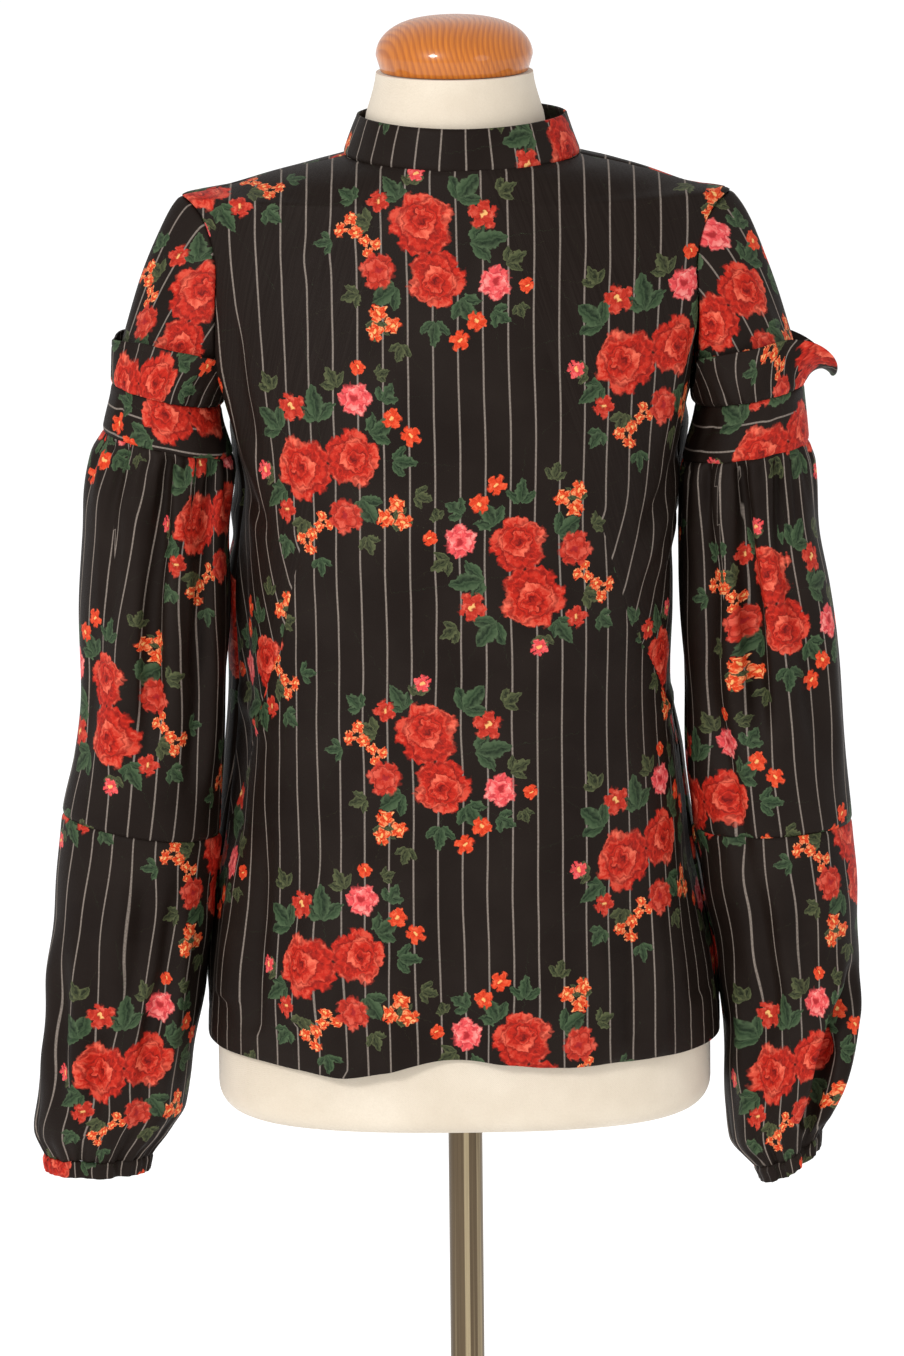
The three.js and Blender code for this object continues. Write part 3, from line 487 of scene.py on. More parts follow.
def crease_lift(places, creases):
    """Lift of listed creases: each a path, a width, a depth, and how soft its two ends are."""
    lift = np.zeros(places.shape[:-1])
    for path, width, depth, *ends in creases:
        fade_in, fade_out = ends if ends else (0.35, 0.35)
        path = np.array(path, float)
        lengths = np.linalg.norm(np.diff(path, axis=0), axis=1)
        total = lengths.sum()
        nearest = np.full(lift.shape, 1e9)
        share = np.zeros(lift.shape)
        before = 0.0
        for start, end, length in zip(path[:-1], path[1:], lengths):
            along = np.clip(((places - start) @ (end - start)) / length**2, 0, 1)
            distance = np.linalg.norm(places - start - along[..., None] * (end - start), axis=-1)
            closer = distance < nearest
            nearest = np.where(closer, distance, nearest)
            share = np.where(closer, (before + along * length) / total, share)
            before += length
        taper = smoothstep(-0.001, max(fade_in, 0.001), share)
        taper = taper * smoothstep(-0.001, max(fade_out, 0.001), 1 - share)
        across = nearest / width
        lift += depth * taper * (1 - 0.5 * across**2) * ridge(across)
    return lift


def soft_noise(u, v, size, seed):
    """Smooth, repeatable unevenness of about -1 to 1, with lumps of about the given size."""
    generator = np.random.default_rng(seed)
    total = np.zeros(np.broadcast(u, v).shape)
    for _ in range(7):
        heading = generator.uniform(0, 2 * math.pi)
        length = size * generator.uniform(0.7, 1.6)
        phase = generator.uniform(0, 2 * math.pi)
        total = total + np.sin(2 * math.pi * (u * math.cos(heading) + v * math.sin(heading)) / length + phase)
    return total / 3.2


def new_object(name, data):
    """A new object of the scene that holds a mesh, a light or a camera."""
    made = bpy.data.objects.new(name, data)
    bpy.context.scene.collection.objects.link(made)
    return made


def shell(name, outer, normal, thickness, fabric, turned=None, skip=None, reverse=None):
    """A thin closed sheet behind a grid of outer points. fabric holds the place on the flat printed cloth."""
    rows, columns = outer.shape[:2]
    count = rows * columns
    number = np.arange(count).reshape(rows, columns)
    front = np.stack([number[:-1, :-1], number[:-1, 1:], number[1:, 1:], number[1:, :-1]], -1).reshape(-1, 4)
    if skip is not None:
        front = front[~skip.ravel()]
    edges = front[:, [0, 1, 1, 2, 2, 3, 3, 0]].reshape(-1, 2)
    open_edge = ~np.isin(edges[:, 0] * count + edges[:, 1], edges[:, 1] * count + edges[:, 0])
    start, end = edges[open_edge].T

    flat_outer, flat_normal = outer.reshape(-1, 3), normal.reshape(-1, 3)
    flat_inner = flat_outer - flat_normal * thickness
    outward = np.cross(flat_outer[end] - flat_outer[start], flat_normal[start])
    away = np.zeros_like(flat_outer)
    np.add.at(away, start, outward)
    np.add.at(away, end, outward)
    rim = np.unique(np.concatenate([start, end]))
    away = away[rim] / np.maximum(np.linalg.norm(away[rim], axis=1, keepdims=True), 1e-9)
    lips = (flat_outer[rim] + flat_inner[rim]) / 2 + away * thickness * 0.45
    lip_of = np.zeros(count, int)
    lip_of[rim] = np.arange(len(rim)) + 2 * count
    upper_lip = np.stack([end, start, lip_of[start], lip_of[end]], -1)
    lower_lip = np.stack([lip_of[end], lip_of[start], start + count, end + count], -1)
    faces = np.concatenate([front, front[:, ::-1] + count, upper_lip, lower_lip])

    mesh = bpy.data.meshes.new(name)
    points = np.concatenate([flat_outer, flat_inner, lips]) * MM
    mesh.vertices.add(len(points))
    mesh.vertices.foreach_set("co", points.astype(np.float32).ravel())
    mesh.loops.add(faces.size)
    mesh.loops.foreach_set("vertex_index", faces.astype(np.int32).ravel())
    mesh.polygons.add(len(faces))
    mesh.polygons.foreach_set("loop_start", np.arange(0, faces.size, 4, dtype=np.int32))
    material_numbers = np.repeat([0, 1, 0], [len(front), len(front), 2 * len(start)])
    mesh.polygons.foreach_set("material_index", material_numbers.astype(np.int32))
    mesh.polygons.foreach_set("use_smooth", np.ones(len(faces), bool))
    mesh.update(calc_edges=True)
    for attribute_name, values in (("fabric", fabric), ("turned", turned)):
        if values is not None:
            flat = values.reshape(-1, 3)
            attribute = mesh.attributes.new(attribute_name, "FLOAT_VECTOR", "POINT")
            everywhere = np.concatenate([flat, flat, flat[rim]])
            attribute.data.foreach_set("vector", everywhere.astype(np.float32).ravel())

    # A flat map of the sheet: its outer face on the lower four fifths, and its inner face above
    v, u = np.mgrid[0:rows, 0:columns].astype(float)
    place = np.stack([u / (columns - 1), v / (rows - 1)], -1).reshape(-1, 2)
    outer_map = (0.01, 0.01) + place * (0.98, 0.78)
    inner_map = (0.01, 0.81) + place * (0.98, 0.18)
    nudge = 0.003 * np.sign(place - 0.5)
    beside_outer, beside_inner = outer_map + nudge, inner_map + nudge
    maps = [outer_map[front], inner_map[front[:, ::-1]]]
    maps.append(np.stack([outer_map[end], outer_map[start], beside_outer[start], beside_outer[end]], 1))
    maps.append(np.stack([beside_inner[end], beside_inner[start], inner_map[start], inner_map[end]], 1))
    layer = mesh.uv_layers.new(name="OFBake")
    layer.uv.foreach_set("vector", np.concatenate(maps).astype(np.float32).ravel())

    mesh.materials.append(PRINTED)
    mesh.materials.append(reverse or REVERSE)
    return new_object(f"sewn_{name}", mesh)


def seam_dips(points, edges=("left", "right", "top", "bottom")):
    """Lift that rounds the named edges of a grid down into their seams."""
    across = arc_lengths(points, 1)
    along = arc_lengths(points, 0)
    distances = {
        "left": across,
        "right": across[:, -1:] - across,
        "bottom": along,
        "top": along[-1:] - along,
    }
    return -SEAM_DIP * sum(ridge(distances[edge], SEAM_DIP_WIDTH) for edge in edges)


# Printed cloth, in millimetres on the flat fabric: pinstripes, and bouquets on a slanted lattice.
# Each cell of the lattice holds one bouquet of each kind: its place and its turn in degrees.
STRIPE_SPACING = 16.4
STRIPE_PLACE = 0.6
STRIPE_HALF_WIDTH = 0.56
STRIPE_BLUR = 0.18
LATTICE_ACROSS = (216, 67)
LATTICE_UP = 331
BOUQUETS = {"upright": ((-20, 767), 0), "inverted": ((46, 894), 180), "sideways": ((-87, 629), 90)}

# Flowers and leaves of one bouquet: kind, place, size, turn, tint
BOUQUET = [
    ("sprig", (-16, 35), 18.1, 125, "leaf"),
    ("sprig", (22, 34), 20.6, 52, "leaf"),
    ("sprig", (30, 6), 22.4, 8, "leaf"),
    ("sprig", (22, -30), 18.1, -55, "leaf"),
    ("sprig", (-20, -22), 18.9, 215, "leaf"),
    ("sprig", (-36, 18), 14.6, 160, "dull_leaf"),
    ("sprig", (-30, -44), 12.9, 250, "dull_leaf"),
    ("sprig", (52, -8), 13.8, 30, "dull_leaf"),
    ("sprig", (-8, 44), 12, 85, "dull_leaf"),
    ("sprig", (-46, 34), 13, 140, "leaf"),
    ("sprig", (48, 38), 13, 30, "dull_leaf"),
    ("sprig", (44, -38), 13, -30, "leaf"),
    ("sprig", (-44, -26), 12, 205, "dull_leaf"),
    ("sprig", (-60, 6), 12, 190, "leaf"),
    ("sprig", (6, -44), 15, -95, "leaf"),
    ("sprig", (-16, -58), 12, 255, "dull_leaf"),
    ("sprig", (60, -34), 9.5, -70, "dull_leaf"),
    ("five_petals", (38, 24), 10.5, 15, "red"),
    ("five_petals", (-30, 33), 8, 40, "red"),
    ("five_petals", (-5, 52), 6.5, 5, "pink"),
    ("five_petals", (33, -44), 7, 60, "orange_red"),
    ("five_petals", (22, -56), 7, 20, "orange_red"),
    ("five_petals", (65, -22), 5.5, 0, "orange_red"),
    ("cluster", (-49, 16), 10.5, 20, "orange"),
    ("cluster", (-36, 4), 8.5, 75, "orange"),
    ("cluster", (-29, -45), 13, 50, "orange"),
    ("ruffled", (45, -20), 11.5, 30, "carnation"),
    ("ruffled", (-31, -12), 12.5, 0, "red"),
    ("rose", (7, -17), 19.5, 200, "rose"),
    ("rose", (-2, 18), 22, 20, "rose"),
]

# Petals of a rose from the outside in: radius, petals, starting angle, notch depth, sideways and upward shift
ROSE_PETALS = [
    (1.0, 5, 10, 0.2, 0.0, 0.0),
    (0.76, 4, 46, 0.16, 0.07, -0.05),
    (0.52, 4, 100, 0.15, 0.02, 0.1),
    (0.3, 3, 20, 0.13, 0.1, 0.12),
]


def colour(red, green, blue):
    """Linear colour from the 0 to 255 values that a screen shows."""
    channels = [value / 255 for value in (red, green, blue)]
    return tuple(c / 12.92 if c <= 0.04045 else ((c + 0.055) / 1.055) ** 2.4 for c in channels) + (1.0,)


# Dark, middle and light colour of each kind of petal or leaf
TINTS = {
    "rose": (colour(100, 12, 10), colour(178, 36, 22), colour(222, 100, 76)),
    "red": (colour(100, 18, 14), colour(172, 42, 28), colour(210, 92, 72)),
    "pink": (colour(150, 34, 44), colour(208, 66, 68), colour(228, 122, 116)),
    "carnation": (colour(160, 36, 46), colour(214, 74, 76), colour(236, 150, 140)),
    "orange_red": (colour(138, 26, 12), colour(202, 58, 28), colour(222, 104, 66)),
    "orange": (colour(138, 24, 8), colour(204, 62, 26), colour(246, 196, 132)),
    "leaf": (colour(20, 32, 20), colour(44, 62, 40), colour(76, 94, 66)),
    "dull_leaf": (colour(24, 28, 18), colour(54, 60, 38), colour(90, 94, 62)),
}
TINT_STEP = 0.001
GROUND = colour(24, 16, 12)
STRIPE = colour(126, 115, 106)


class Nodes:
    """Builds a node tree with few words. A value is a number, a vector, a colour or another node's output."""

    def __init__(self, tree):
        self.tree = tree

    def add(self, kind, inputs=(), output=0, **settings):
        node = self.tree.nodes.new(kind)
        for name, value in settings.items():
            setattr(node, name, value)
        for key, value in dict(inputs).items():
            self.put(value, node.inputs[key])
        return node.outputs[output]

    def put(self, value, socket):
        """Another node's output is linked to the socket. A plain value is set on it."""
        if isinstance(value, bpy.types.NodeSocket):
            self.tree.links.new(value, socket)
        else:
            socket.default_value = value

    def group(self, tree, *values):
        """The outputs of a node group that is given these values."""
        return self.add("ShaderNodeGroup", enumerate(values), node_tree=tree).node.outputs

    def math(self, operation, *values, clamp=False):
        return self.add("ShaderNodeMath", enumerate(values), operation=operation, use_clamp=clamp)

    def vector(self, operation, *values, output=0):
        return self.add("ShaderNodeVectorMath", enumerate(values), output, operation=operation)

    def length(self, value):
        return self.vector("LENGTH", value, output="Value")

    def flat_length(self, value):
        return self.length(self.vector("MULTIPLY", value, (1, 1, 0)))

    def parts(self, value):
        node = self.add("ShaderNodeSeparateXYZ", {0: value}).node
        return node.outputs[0], node.outputs[1], node.outputs[2]

    def join(self, x, y, z=0.0):
        return self.add("ShaderNodeCombineXYZ", {0: x, 1: y, 2: z})

    def span(self, value, low, high, to_low=0.0, to_high=1.0, smooth=False):
        """value moved from low..high to to_low..to_high, and held at both ends."""
        kind = "SMOOTHSTEP" if smooth else "LINEAR"
        inputs = {"Value": value, "From Min": low, "From Max": high, "To Min": to_low, "To Max": to_high}
        return self.add("ShaderNodeMapRange", inputs, interpolation_type=kind, clamp=True)

    def mix(self, factor, first, second):
        inputs = {"Factor": factor, 6: first, 7: second}
        return self.add("ShaderNodeMix", inputs, 2, data_type="RGBA")

    def choose(self, factor, first, second):
        """The first of two places, or the second where the factor is 1."""
        return self.add("ShaderNodeMix", {"Factor": factor, 4: first, 5: second}, 1, data_type="VECTOR")

    def noise(self, place, scale, detail=2.0, output="Fac"):
        inputs = {"Vector": place, "Scale": scale, "Detail": detail}
        return self.add("ShaderNodeTexNoise", inputs, output)

    def fine_noise(self, place, scales, detail=2.0):
        """Noise with its own scale along each axis."""
        return self.noise(self.vector("MULTIPLY", place, scales), 1.0, detail)

    def wavered(self, place, scale, detail, reach):
        """A place that is moved about by soft noise."""
        waver = self.vector("SUBTRACT", self.noise(place, scale, detail, "Color"), (0.5, 0.5, 0.5))
        return self.vector("ADD", place, self.vector("MULTIPLY", waver, (reach, reach, 0)))

    def bump(self, height, strength, distance):
        return self.add("ShaderNodeBump", {"Height": height, "Strength": strength, "Distance": distance})


def new_group(name, inputs, outputs):
    """An empty node group with the given sockets, its builder and its inputs."""
    tree = bpy.data.node_groups.new(name, "ShaderNodeTree")
    kinds = {"vector": "NodeSocketVector", "colour": "NodeSocketColor", "value": "NodeSocketFloat"}
    for socket_name, kind in inputs:
        tree.interface.new_socket(socket_name, in_out="INPUT", socket_type=kinds[kind])
    for socket_name, kind in outputs:
        tree.interface.new_socket(socket_name, in_out="OUTPUT", socket_type=kinds[kind])
    entry = tree.nodes.new("NodeGroupInput")
    return tree, Nodes(tree), list(entry.outputs)[: len(inputs)]


def close_group(tree, *values):
    leaving = tree.nodes.new("NodeGroupOutput")
    for socket, value in zip(leaving.inputs, values):
        tree.links.new(value, socket)
    return tree


STAMP_INPUTS = [("Place", "vector"), ("Dark", "colour"), ("Middle", "colour"), ("Light", "colour")]
STAMP_OUTPUTS = [("Colour", "colour"), ("Mask", "value")]


def petal_edge(n, angle, petals, start, notch, power=0.6):
    """Radius of a round of petals at an angle, 1 at each petal's middle and lower between two."""
    turned = n.math("MULTIPLY_ADD", angle, petals / 2, math.radians(-start * petals / 2))
    lobes = n.math("POWER", n.math("ABSOLUTE", n.math("COSINE", turned)), power)
    return n.math("MULTIPLY_ADD", lobes, notch, 1 - notch)


def painted(n, tone, dark, middle, light):
    """Three shades blended by a tone from 0, dark, to 1, light."""
    lower = n.mix(n.span(tone, 0.0, 0.45), dark, middle)
    return n.mix(n.span(tone, 0.5, 1.0), lower, light)


def rose_group():
    """A full rose, from its outer petals in to the swirl of its heart."""
    tree, n, given = new_group("rose", STAMP_INPUTS, STAMP_OUTPUTS)
    place, dark, middle, light = given
    place = n.wavered(place, 2.3, 2.0, 0.5)
    mottle = n.noise(place, 8.0, 3.0)
    patches = n.noise(place, 1.5, 1.0)
    shown = middle
    mask = None
    for radius, petals, start, notch, aside, above in ROSE_PETALS:
        local = n.vector("SUBTRACT", place, (aside, above, 0))
        x, y, _ = n.parts(local)
        angle = n.math("ARCTAN2", y, x)
        edge = petal_edge(n, angle, petals, start, notch)
        ratio = n.math("DIVIDE", n.flat_length(local), n.math("MULTIPLY", edge, radius))
        inside = n.span(ratio, 1.0, 0.9)
        lit = n.math("COSINE", n.math("SUBTRACT", angle, math.radians(2.4 * start)))
        tone = n.math("MULTIPLY_ADD", lit, 0.14, n.span(ratio, 0.5, 0.92, 0.24, 0.56, True))
        tone = n.math("ADD", tone, n.span(mottle, 0.3, 0.7, -0.24, 0.24))
        tone = n.math("ADD", tone, n.span(patches, 0.5, 0.75, 0.0, 0.42))
        petal = painted(n, tone, dark, middle, light)
        gap = n.span(ratio, 1.0, 1.12, 0.62, 0.0)
        shown = n.mix(inside, n.mix(gap, shown, dark), petal)
        mask = inside if mask is None else mask
    return close_group(tree, shown, mask)


def flower_group(name, petals, notch, rounds, centre):
    """A flat flower of one or more rounds of petals, with a small centre."""
    tree, n, given = new_group(name, STAMP_INPUTS, STAMP_OUTPUTS)
    place, dark, middle, light = given
    place = n.wavered(place, 2.0, 1.0, 0.6)
    mottle = n.noise(place, 2.6, 3.0)
    x, y, _ = n.parts(place)
    angle = n.math("ARCTAN2", y, x)
    reach = n.flat_length(place)
    shown, mask = middle, None
    for number in range(rounds):
        radius = 1 - 0.36 * number
        edge = petal_edge(n, angle, petals, 37 * number, notch, 0.5)
        ratio = n.math("DIVIDE", reach, n.math("MULTIPLY", edge, radius))
        inside = n.span(ratio, 1.0, 0.86)
        tone = n.math("ADD", n.span(ratio, 0.25, 0.9, 0.2, 0.55), n.span(mottle, 0.35, 0.65, -0.2, 0.45))
        petal = painted(n, tone, dark, middle, light)
        gap = n.span(ratio, 1.0, 1.15, 0.6, 0.0)
        shown = n.mix(inside, n.mix(gap, shown, dark), petal)
        mask = inside if mask is None else mask
    shown = n.mix(n.span(reach, 0.24, 0.12, 0.0, 0.8), shown, centre)
    return close_group(tree, shown, mask)


def cluster_group(flower):
    """Three small flowers round a middle."""
    tree, n, (place, *shades) = new_group("cluster", STAMP_INPUTS, STAMP_OUTPUTS)
    x, y, _ = n.parts(place)
    third = 2 * math.pi / 3
    angle = n.math("FLOORED_MODULO", n.math("ARCTAN2", y, x), third)
    angle = n.math("SUBTRACT", angle, third / 2)
    reach = n.flat_length(place)
    across = n.math("SUBTRACT", n.math("MULTIPLY", reach, n.math("COSINE", angle)), 0.53)
    beside = n.math("MULTIPLY", reach, n.math("SINE", angle))
    place = n.vector("MULTIPLY", n.join(across, beside), (2.1, 2.1, 1))
    return close_group(tree, *n.group(flower, place, *shades))


def sprig_group():
    """Three pointed leaves with a pale rib: one ahead and one to each side."""
    tree, n, given = new_group("sprig", STAMP_INPUTS, STAMP_OUTPUTS)
    place, dark, middle, light = given
    x, y, _ = n.parts(place)
    jagged = n.noise(place, 6.0, 1.0)
    fold = n.math("ABSOLUTE", y)
    lean = math.radians(52)
    side_x = n.math("MULTIPLY_ADD", x, math.cos(lean), n.math("MULTIPLY", fold, math.sin(lean)))
    side_y = n.math("MULTIPLY_ADD", x, -math.sin(lean), n.math("MULTIPLY", fold, math.cos(lean)))
    shown, mask = middle, 0.0
    for along, across, size in ((side_x, side_y, 0.8), (x, y, 1.05)):
        along = n.math("DIVIDE", along, size)
        across = n.math("DIVIDE", across, size)
        inverse = n.math("SUBTRACT", 1.0, along, clamp=True)
        half = n.math("MULTIPLY", n.math("MULTIPLY", n.math("MAXIMUM", along, 0.0), inverse), 1.12)
        half = n.math("MULTIPLY", half, n.math("MULTIPLY_ADD", jagged, 0.5, 0.75))
        ratio = n.math("DIVIDE", n.math("ABSOLUTE", across), n.math("MAXIMUM", half, 0.001))
        inside = n.span(ratio, 1.0, 0.85)
        blade = n.mix(n.span(across, -0.1, 0.12), dark, middle)
        blade = n.mix(n.span(n.math("MULTIPLY_ADD", jagged, 0.9, ratio), 0.7, 1.4, 0.0, 0.8), blade, light)
        blade = n.mix(n.span(n.math("ABSOLUTE", across), 0.04, 0.012, 0.0, 0.35), blade, light)
        shown = n.mix(inside, shown, blade)
        mask = n.math("MAXIMUM", mask, inside)
    return close_group(tree, shown, mask)


def stamp_groups():
    """The kinds of stamps, in the order in which they are printed over each other."""
    five = flower_group("five_petals", 5, 0.5, 1, colour(236, 184, 112))
    return {
        "sprig": sprig_group(),
        "five_petals": five,
        "cluster": cluster_group(five),
        "ruffled": flower_group("ruffled", 6, 0.24, 2, colour(150, 30, 34)),
        "rose": rose_group(),
    }


def closest(n, first, others):
    """Of several places, each about its own middle, the one that is closest to its middle."""
    chosen, nearest = first, n.length(first)
    for place in others:
        distance = n.length(place)
        closer = n.math("LESS_THAN", distance, nearest)
        chosen = n.choose(closer, chosen, place)
        nearest = n.math("MINIMUM", distance, nearest)
    return chosen


def bouquet_place(n, x, y, middle, turn):
    """Place about the middle of the closest bouquet of one kind on the slanted lattice."""
    across = n.math("SUBTRACT", x, middle[0])
    up = n.math("SUBTRACT", y, middle[1])
    column = n.math("ROUND", n.math("DIVIDE", across, LATTICE_ACROSS[0]))
    level = n.math("MULTIPLY_ADD", column, -LATTICE_ACROSS[1], up)
    row = n.math("ROUND", n.math("DIVIDE", level, LATTICE_UP))
    own_x = n.math("MULTIPLY_ADD", column, -LATTICE_ACROSS[0], across)
    own_y = n.math("MULTIPLY_ADD", row, -LATTICE_UP, level)
    cosine, sine = math.cos(math.radians(turn)), math.sin(math.radians(turn))
    return n.join(
        n.math("MULTIPLY_ADD", own_x, cosine, n.math("MULTIPLY", own_y, sine)),
        n.math("MULTIPLY_ADD", own_y, cosine, n.math("MULTIPLY", own_x, -sine)),
    )


def stamp_place(n, place, stamp, tint_number):
    """Place about one stamp, 1 at its rim. The number of its tint goes along in z."""
    _, (stamp_x, stamp_y), size, turn, _ = stamp
    mapping = {
        "Vector": place,
        "Location": (stamp_x, stamp_y, -TINT_STEP * tint_number),
        "Rotation": (0, 0, math.radians(turn)),
        "Scale": (size, size, 1),
    }
    return n.add("ShaderNodeMapping", mapping, vector_type="TEXTURE")


def print_group():
    """Colour of the printed cloth at a place on the flat fabric."""
    tree, n, (flat,) = new_group("print", [("Place", "vector")], [("Colour", "colour")])
    x, y, _ = n.parts(flat)
    bouquets = [bouquet_place(n, x, y, middle, turn) for middle, turn in BOUQUETS.values()]
    local = closest(n, bouquets[0], bouquets[1:])
    local = n.wavered(local, 0.3, 2.0, 5.0)

    stripe_place = n.math("DIVIDE", n.math("SUBTRACT", x, STRIPE_PLACE), STRIPE_SPACING)
    off_stripe = n.math("ABSOLUTE", n.math("SUBTRACT", stripe_place, n.math("ROUND", stripe_place)))
    off_stripe = n.math("MULTIPLY", off_stripe, STRIPE_SPACING)
    thread = n.noise(n.vector("MULTIPLY", flat, (1.2, 0.5, 1)), 1.3, 1.0)
    strength = n.span(thread, 0.3, 0.6, 0.62, 1.0)
    outside, inside = STRIPE_HALF_WIDTH + STRIPE_BLUR, STRIPE_HALF_WIDTH - STRIPE_BLUR
    on_stripe = n.math("MULTIPLY", n.span(off_stripe, outside, inside), strength)
    shown = n.mix(on_stripe, GROUND, STRIPE)

    for kind, group in stamp_groups().items():
        stamps = [stamp for stamp in BOUQUET if stamp[0] == kind]
        tints = sorted({stamp[4] for stamp in stamps})
        places = [stamp_place(n, local, stamp, tints.index(stamp[4])) for stamp in stamps]
        layers = [(place, []) for place in places] if kind == "rose" else [(places[0], places[1:])]
        for first, others in layers:
            place = closest(n, first, others)
            shades = TINTS[tints[0]]
            for number, tint in enumerate(tints[1:], 1):
                is_other = n.math("GREATER_THAN", n.parts(place)[2], TINT_STEP * (number - 0.5))
                shades = [n.mix(is_other, shade, other) for shade, other in zip(shades, TINTS[tint])]
            stamp, mask = n.group(group, place, *shades)
            shown = n.mix(mask, shown, stamp)
    return close_group(tree, shown)


def new_material(name):
    material = bpy.data.materials.new(name)
    material.use_nodes = True
    tree = material.node_tree
    return material, Nodes(tree), tree.nodes["Principled BSDF"]


def settle(n, shader, **values):
    """Puts values on the shader's own sockets, whose names are written with underscores."""
    for name, value in values.items():
        n.put(value, shader.inputs[name.replace("_", " ")])


def cloth_material(name, printed, faded):
    """Thin woven cloth with the print on it. The reverse shows the same print faded."""
    material, n, shader = new_material(name)
    fabric = n.add("ShaderNodeAttribute", {}, "Vector", attribute_name="fabric")
    turned = n.add("ShaderNodeAttribute", {}, "Vector", attribute_name="turned")
    _, _, beyond_dart = n.parts(turned)
    chosen = n.math("GREATER_THAN", beyond_dart, 0.0)
    place = n.choose(chosen, fabric, turned)
    shown = n.group(printed, place)[0]
    if faded:
        shown = n.mix(faded, shown, colour(52, 47, 44))
    wear = n.fine_noise(place, (0.02, 0.02, 1), 3.0)
    shown = n.mix(n.span(wear, 0.35, 0.7, 0.0, 0.025), shown, colour(120, 108, 98))
    weave = n.math("ADD", n.fine_noise(place, (2.2, 0.7, 1)), n.fine_noise(place, (0.7, 2.2, 1)))
    rough = n.span(weave, 0.7, 1.3, 0.48, 0.66)
    settle(n, shader, Base_Color=shown, Roughness=rough, Normal=n.bump(weave, 0.35, 0.0004))
    settle(n, shader, Specular_IOR_Level=0.08)
    return material


PRINT = print_group()
PRINTED = cloth_material("printed_cloth", PRINT, 0)
REVERSE = cloth_material("printed_cloth_reverse", PRINT, 0.72)

# Creases of the front: path of (x, z), width, depth, softness of its start and end
FRONT_CREASES = [
    ([(-160, 1062), (-152, 1012), (-141, 968), (-126, 925)], 7, 3.8),
    ([(-147, 1064), (-141, 1002), (-132, 958)], 6, -2.9),
    ([(-166, 1030), (-160, 990), (-150, 955), (-138, 925)], 5, 3.2),
    ([(-150, 962), (-138, 930), (-124, 905)], 6, -3.2),
    ([(160, 980), (144, 935), (124, 895), (104, 860)], 7, 4.2),
    ([(152, 968), (134, 930), (116, 908)], 6, -3.5),
    ([(150, 930), (138, 900), (124, 868)], 5.5, 3.2),
    ([(158, 1050), (154, 1010), (146, 975)], 7, -2.6),
    ([(146, 1062), (142, 1010), (132, 970), (118, 945)], 9, 2.6),
    ([(-148, 712), (-154, 655), (-158, 590)], 9, 4.2, 0.4, 0.05),
    ([(-128, 735), (-133, 670), (-140, 575)], 8, -3.8, 0.4, 0.05),
    ([(-90, 705), (-99, 650), (-108, 585)], 12, 4.8, 0.5, 0.05),
    ([(-70, 660), (-76, 610), (-80, 555)], 10, -3.8, 0.5, 0.05),
    ([(-44, 640), (-46, 600), (-48, 555)], 11, 2.9, 0.5, 0.05),
    ([(88, 668), (92, 620), (98, 560)], 9, 3.5, 0.4, 0.05),
    ([(108, 700), (112, 650), (112, 570)], 8, -3.2, 0.4, 0.05),
    ([(124, 680), (128, 630), (130, 560)], 8, 3.5, 0.4, 0.05),
    ([(146, 720), (150, 660), (158, 590)], 9, -3.2, 0.4, 0.05),
    ([(60, 640), (58, 600), (60, 556)], 12, -2.2, 0.5, 0.05),
    ([(20, 620), (24, 590), (24, 556)], 12, 2.2, 0.6, 0.05),
    ([(-60, 1120), (-84, 1098), (-118, 1082)], 13, 1.6),
    ([(62, 1118), (90, 1094), (122, 1076)], 13, -1.6),
    ([(-150, 800), (-140, 782), (-120, 772)], 8, 2.6),
    ([(152, 800), (140, 786), (126, 780)], 8, 2.6),
    ([(-40, 880), (-10, 872), (30, 878)], 22, -1.4),
    ([(-50, 800), (0, 792), (60, 800)], 26, 1.4),
]

# Creases of the back, like those of the front: path of (x, z) as seen from behind, with x to the right
BACK_CREASES = [
    ([(-158, 1058), (-150, 1008), (-136, 965)], 8, 3.5),
    ([(-146, 1040), (-136, 985), (-118, 945)], 8, -2.9),
    ([(157, 1060), (150, 1004), (138, 955)], 8, 3.8),
    ([(144, 1046), (134, 990), (118, 955)], 7, -3.2),
    ([(-120, 1000), (-60, 985), (-10, 1004)], 16, 1.9),
    ([(110, 985), (60, 968), (10, 985)], 18, -1.9),
    ([(-135, 840), (-70, 822), (0, 832), (80, 820), (138, 842)], 13, 3.5),
    ([(-130, 808), (-60, 796), (20, 803), (120, 792)], 12, -3),
    ([(-138, 775), (-80, 762), (-20, 768)], 11, 2.7),
    ([(140, 772), (90, 760), (40, 766)], 11, 2.6),
    ([(-110, 720), (-118, 650), (-124, 565)], 13, 4.2, 0.5, 0.05),
    ([(-74, 690), (-78, 630), (-84, 560)], 12, -3.8, 0.5, 0.05),
    ([(-30, 700), (-34, 640), (-34, 560)], 14, 3.2, 0.5, 0.05),
    ([(26, 690), (28, 630), (34, 560)], 12, -3.2, 0.5, 0.05),
    ([(72, 715), (78, 650), (86, 560)], 13, 4.5, 0.5, 0.05),
    ([(116, 700), (124, 640), (132, 560)], 11, -3.5, 0.5, 0.05),
]

# French darts of the front: apex, a point on the way, and the end on the side seam, as (x, z), and
# by how many degrees the cloth above the dart is turned
DARTS = [
    ([(-101.7, 912), (-118, 836), (-143, 742)], 22),
    ([(89.5, 927.7), (112, 849), (143.5, 752)], -22),
]
DART_FADE = 150
DART_GROOVE = 1.4
NOT_TURNED = -1e3

